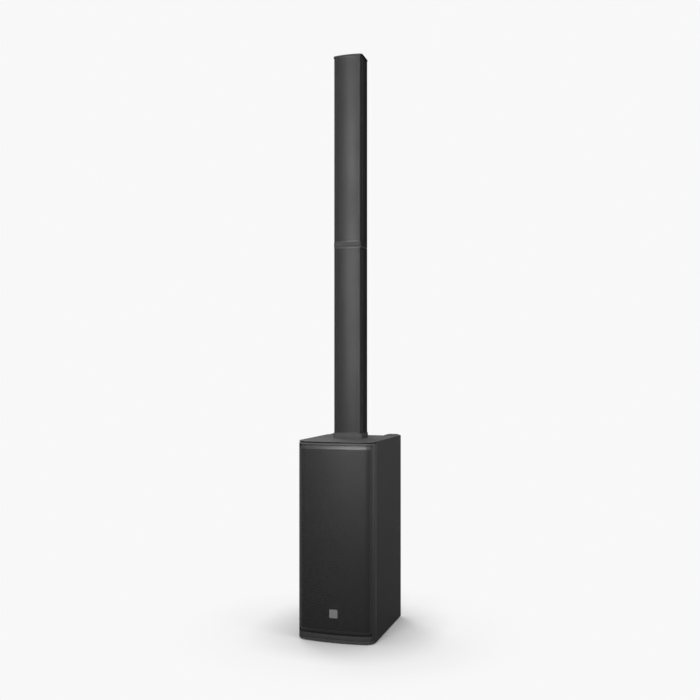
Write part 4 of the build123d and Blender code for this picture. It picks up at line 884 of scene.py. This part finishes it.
# %% Socket rings
RING_COLOURS = {"red": (0.42, 0.02, 0.02), "white": OFF_WHITE}
socket_x = (line_low.x + line_high.x) / 2
SOCKET_RADIUS = 5.5 * MM
SOCKET_STEP = 16 * MM
RING_CLEARANCE, RING_REACH = 0.2 * MM, 1.6 * MM  # from the socket to the ring's two edges
RING_HEIGHT = 0.8 * MM
for number, (colour_name, colour) in enumerate(RING_COLOURS.items()):
    form = bmesh.new()
    z = line_high.z - SOCKET_RADIUS - number * SOCKET_STEP
    outer = circle(socket_x, z, SOCKET_RADIUS + RING_REACH)
    inner = circle(socket_x, z, SOCKET_RADIUS + RING_CLEARANCE)
    raise_shape(form, outer, panel_face, RING_HEIGHT, inner)
    ring_tone = tint(f"ring_{colour_name}", "control_plastic", colour)
    show_form(f"line_socket_ring_{colour_name}", form, "base", "control_plastic", ring_tone)
print("rings:", ", ".join(RING_COLOURS))

# %% [markdown]
# ## Panel screws
# A screw head is small, but a plain disc gives it away. Each head is turned as a profile: a low
# dome, then a six-sided socket cut into it. The CAD's screws say where the heads are: their mesh
# falls apart into one island for each screw, and each island's box gives a head's place and size.

# %% Panel screws
HEAD_STEPS = 24
DOME = ((1.0, 0.0), (1.0, 0.45), (0.93, 0.72), (0.78, 0.92), (0.60, 1.0))  # radius, height
HEX_SIZE = 0.42  # of the head's radius
HEX_DEPTH = 0.7  # of the head's height
SHANK_SIZE = 0.5  # of the head's radius
HEAD_HEIGHT = 1.6 * MM


def screw_places(name):
    """Middle, radius, outer face and tip of each screw in a CAD node."""
    form = bmesh.new()
    form.from_mesh(frame["nodes"][name].data)
    bmesh.ops.remove_doubles(form, verts=form.verts, dist=SAME_POINT)
    left, places = set(form.verts), []
    while left:
        reached, open_ends = set(), [left.pop()]
        while open_ends:
            vertex = open_ends.pop()
            reached.add(vertex)
            for edge in vertex.link_edges:
                other = edge.other_vert(vertex)
                if other in left:
                    left.discard(other)
                    open_ends.append(other)
        xs, ys, zs = ([v.co[axis] for v in reached] for axis in range(3))
        x, z = (max(xs) + min(xs)) / 2, (max(zs) + min(zs)) / 2
        places.append((x, z, (max(xs) - min(xs)) / 2, max(ys), min(ys)))
    form.free()
    return sorted(places)


def add_screw(form, x, z, radius, face, tip):
    """One closed screw: domed head with a hexagonal socket, and a plain shank."""
    back = face - HEAD_HEIGHT

    def ring(scale, y, hexagonal=False):
        """Ring of points, round or six-sided."""
        made = []
        for k in range(HEAD_STEPS):
            turn = 2 * math.pi * k / HEAD_STEPS
            flat = math.cos(math.pi / 6) / math.cos(turn % (math.pi / 3) - math.pi / 6)
            reach = radius * scale * (flat if hexagonal else 1.0)
            place = x + reach * math.cos(turn), y, z + reach * math.sin(turn)
            made.append(form.verts.new(place))
        return made

    rings = [ring(SHANK_SIZE, tip), ring(SHANK_SIZE, back)]
    rings += [ring(scale, back + HEAD_HEIGHT * rise) for scale, rise in DOME]
    rings += [ring(HEX_SIZE, face, True), ring(HEX_SIZE, face - HEX_DEPTH * HEAD_HEIGHT, True)]
    form.faces.new(rings[0])
    form.faces.new(rings[-1])
    join_rings(form, rings)


form = bmesh.new()
panel_screw_places = screw_places("panel_screws")
for place in panel_screw_places:
    add_screw(form, *place)
socket_head_screws = show_form("socket_head_screws", form, "base", "screw_black")
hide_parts("panel_screws")
print("screws:", len(panel_screw_places), "triangles:", triangles(socket_head_screws))

# %% [markdown]
# ## Floor, backdrop and light
# The studio is white all round. White light from everywhere would flatten a black object, so
# the white is only what the camera, gloss and glass see, by way of Light Path. The rays that
# carry soft light see a darker room instead. The floor does the same, and keeps its shadow:
# part of its white glows, and the rest is lit, so that it darkens where the cabinet stands. The
# glowing part is darkened too, by ambient occlusion near the cabinet: a painted contact shadow.

# %% Studio floor
WHITE = 0.94
FLOOR_BOUNCE = 0.10  # what soft light rays find in the floor
FLOOR_REACH = 30.0
LAMP_SHARE = 0.40  # share of the floor beside the cabinet that the lamps light, shadows and all
LAMP_SHARE_START, LAMP_SHARE_END = 0.12, 0.60  # metres from the middle over which it dies away
LAMP_SHARE_COLOUR = 0.62
# painted contact shadow: the floor's glow is darkened by ambient occlusion near the cabinet
SHADOW_PAINT_REACH = 0.20  # how far from the cabinet its soft dark edge on the floor goes
SHADOW_PAINT_DEPTH = 1.3  # power that deepens it
FLOOR_ROUGHNESS = 0.9


def seen_directly(owner):
    """Socket that is 1 for rays from the camera, gloss or glass, and 0 for soft light."""
    path = node(owner, "ShaderNodeLightPath")
    total = path.outputs["Is Camera Ray"]
    for name in ("Is Glossy Ray", "Is Transmission Ray"):
        total = calculate(owner, "MAXIMUM", total, path.outputs[name])
    return total


def blend_shaders(owner, factor, first, second):
    """Socket with the light of one shader or the other, by a factor."""
    blend = node(owner, "ShaderNodeMixShader")
    for place, source in zip(blend.inputs, (factor, first, second)):
        join(owner, source, place)
    return blend.outputs["Shader"]


def floor_material():
    """White floor: a glow with a painted contact shadow and a lit share for the eye, a darker plain
    face for soft light.
    """
    material, shader = start_material("studio_floor", (FLOOR_BOUNCE,) * 3, FLOOR_ROUGHNESS)
    shader.inputs["Specular IOR Level"].default_value = 0.0
    # painted contact shadow: ambient occlusion darkens the glowing white beside the cabinet
    openness = node(material, "ShaderNodeAmbientOcclusion", Distance=SHADOW_PAINT_REACH)
    deeper = calculate(material, "POWER", openness.outputs["AO"], SHADOW_PAINT_DEPTH)
    glow = node(material, "ShaderNodeEmission")
    join(material, calculate(material, "MULTIPLY", deeper, WHITE), glow.inputs["Strength"])
    lit = node(material, "ShaderNodeBsdfDiffuse", Color=(LAMP_SHARE_COLOUR,) * 3 + (1,))
    away = node(material, "ShaderNodeVectorMath")
    away.operation = "LENGTH"
    join(material, node(material, "ShaderNodeTexCoord").outputs["Object"], away.inputs[0])
    reach = LAMP_SHARE_START, LAMP_SHARE_END
    share = remap(material, away.outputs["Value"], reach, (1 - LAMP_SHARE, 1), smooth=True)
    seen = blend_shaders(material, share, lit.outputs["BSDF"], glow.outputs["Emission"])
    whole = blend_shaders(material, seen_directly(material), shader.outputs["BSDF"], seen)
    join(material, whole, material.node_tree.nodes["Material Output"].inputs["Surface"])
    return material


floor_mesh = bpy.data.meshes.new("studio_floor")
corners = [(-1, -1), (1, -1), (1, 1), (-1, 1)]
floor_mesh.from_pydata([(x * FLOOR_REACH, y * FLOOR_REACH, 0) for x, y in corners], [], [range(4)])
floor_mesh.materials.append(floor_material())
studio_floor = bpy.data.objects.new("studio_floor", floor_mesh)
bpy.context.scene.collection.objects.link(studio_floor)
print("floor reaches", FLOOR_REACH, "m")

# %% Studio world
ROOM_LIGHT = 0.12  # what soft light rays find in the surroundings
world = bpy.data.worlds.new("studio_world")
bpy.context.scene.world = world
world.use_nodes = True
backdrop = world.node_tree.nodes["Background"]
backdrop.inputs["Color"].default_value = (1, 1, 1, 1)
brightness = remap(world, seen_directly(world), (0, 1), (ROOM_LIGHT, WHITE))
join(world, brightness, backdrop.inputs["Strength"])
print("white", WHITE, "to the eye and", ROOM_LIGHT, "as light")

# %% [markdown]
# ## Lamps
# The key lamp is a large softbox, high in front and a little to the left, where a bowed black
# front mirrors it to the camera. It stands nearer to the column's head than to the cabinet's
# foot, so the light falls off down the front. A weak one on the right keeps the cabinet's side
# from going black, and one behind does the same for the back panel. The edge lamp is small,
# in front on the right: it picks out the rounded upright edge between the front and the side.

# %% Lamps
# name: (place, target, width, height, watts, beam in degrees)
LAMPS = {
    "key_lamp": ((-0.27, -2.15, 1.75), (0, 0, 1.48), 0.65, 1.9, 38, 80),
    "side_lamp": ((2.4, -1.0, 2.4), (0.1, 0, 1.3), 1.2, 1.2, 15, 80),
    "edge_lamp": ((0.50, -2.3, 1.5), (0.12, -0.15, 0.60), 0.25, 0.5, 1.6, 26),
    "back_lamp": ((-1.9, 2.2, 2.3), (0, 0, 0.8), 1.6, 1.2, 45, 110),
}


def soft_lamp(name, place, target, width, height, watts, beam):
    """Area lamp at a place, facing a target, unseen by the camera."""
    data = bpy.data.lights.new(name, "AREA")
    data.shape = "RECTANGLE"
    data.size, data.size_y = width, height
    data.energy = watts
    data.spread = math.radians(beam)
    lamp = bpy.data.objects.new(name, data)
    lamp.location = place
    lamp.rotation_euler = (Vector(target) - Vector(place)).to_track_quat("-Z", "Y").to_euler()
    lamp.visible_camera = False
    bpy.context.scene.collection.objects.link(lamp)


for name, lamp_setup in LAMPS.items():
    soft_lamp(name, *lamp_setup)
print("lamps:", ", ".join(LAMPS))
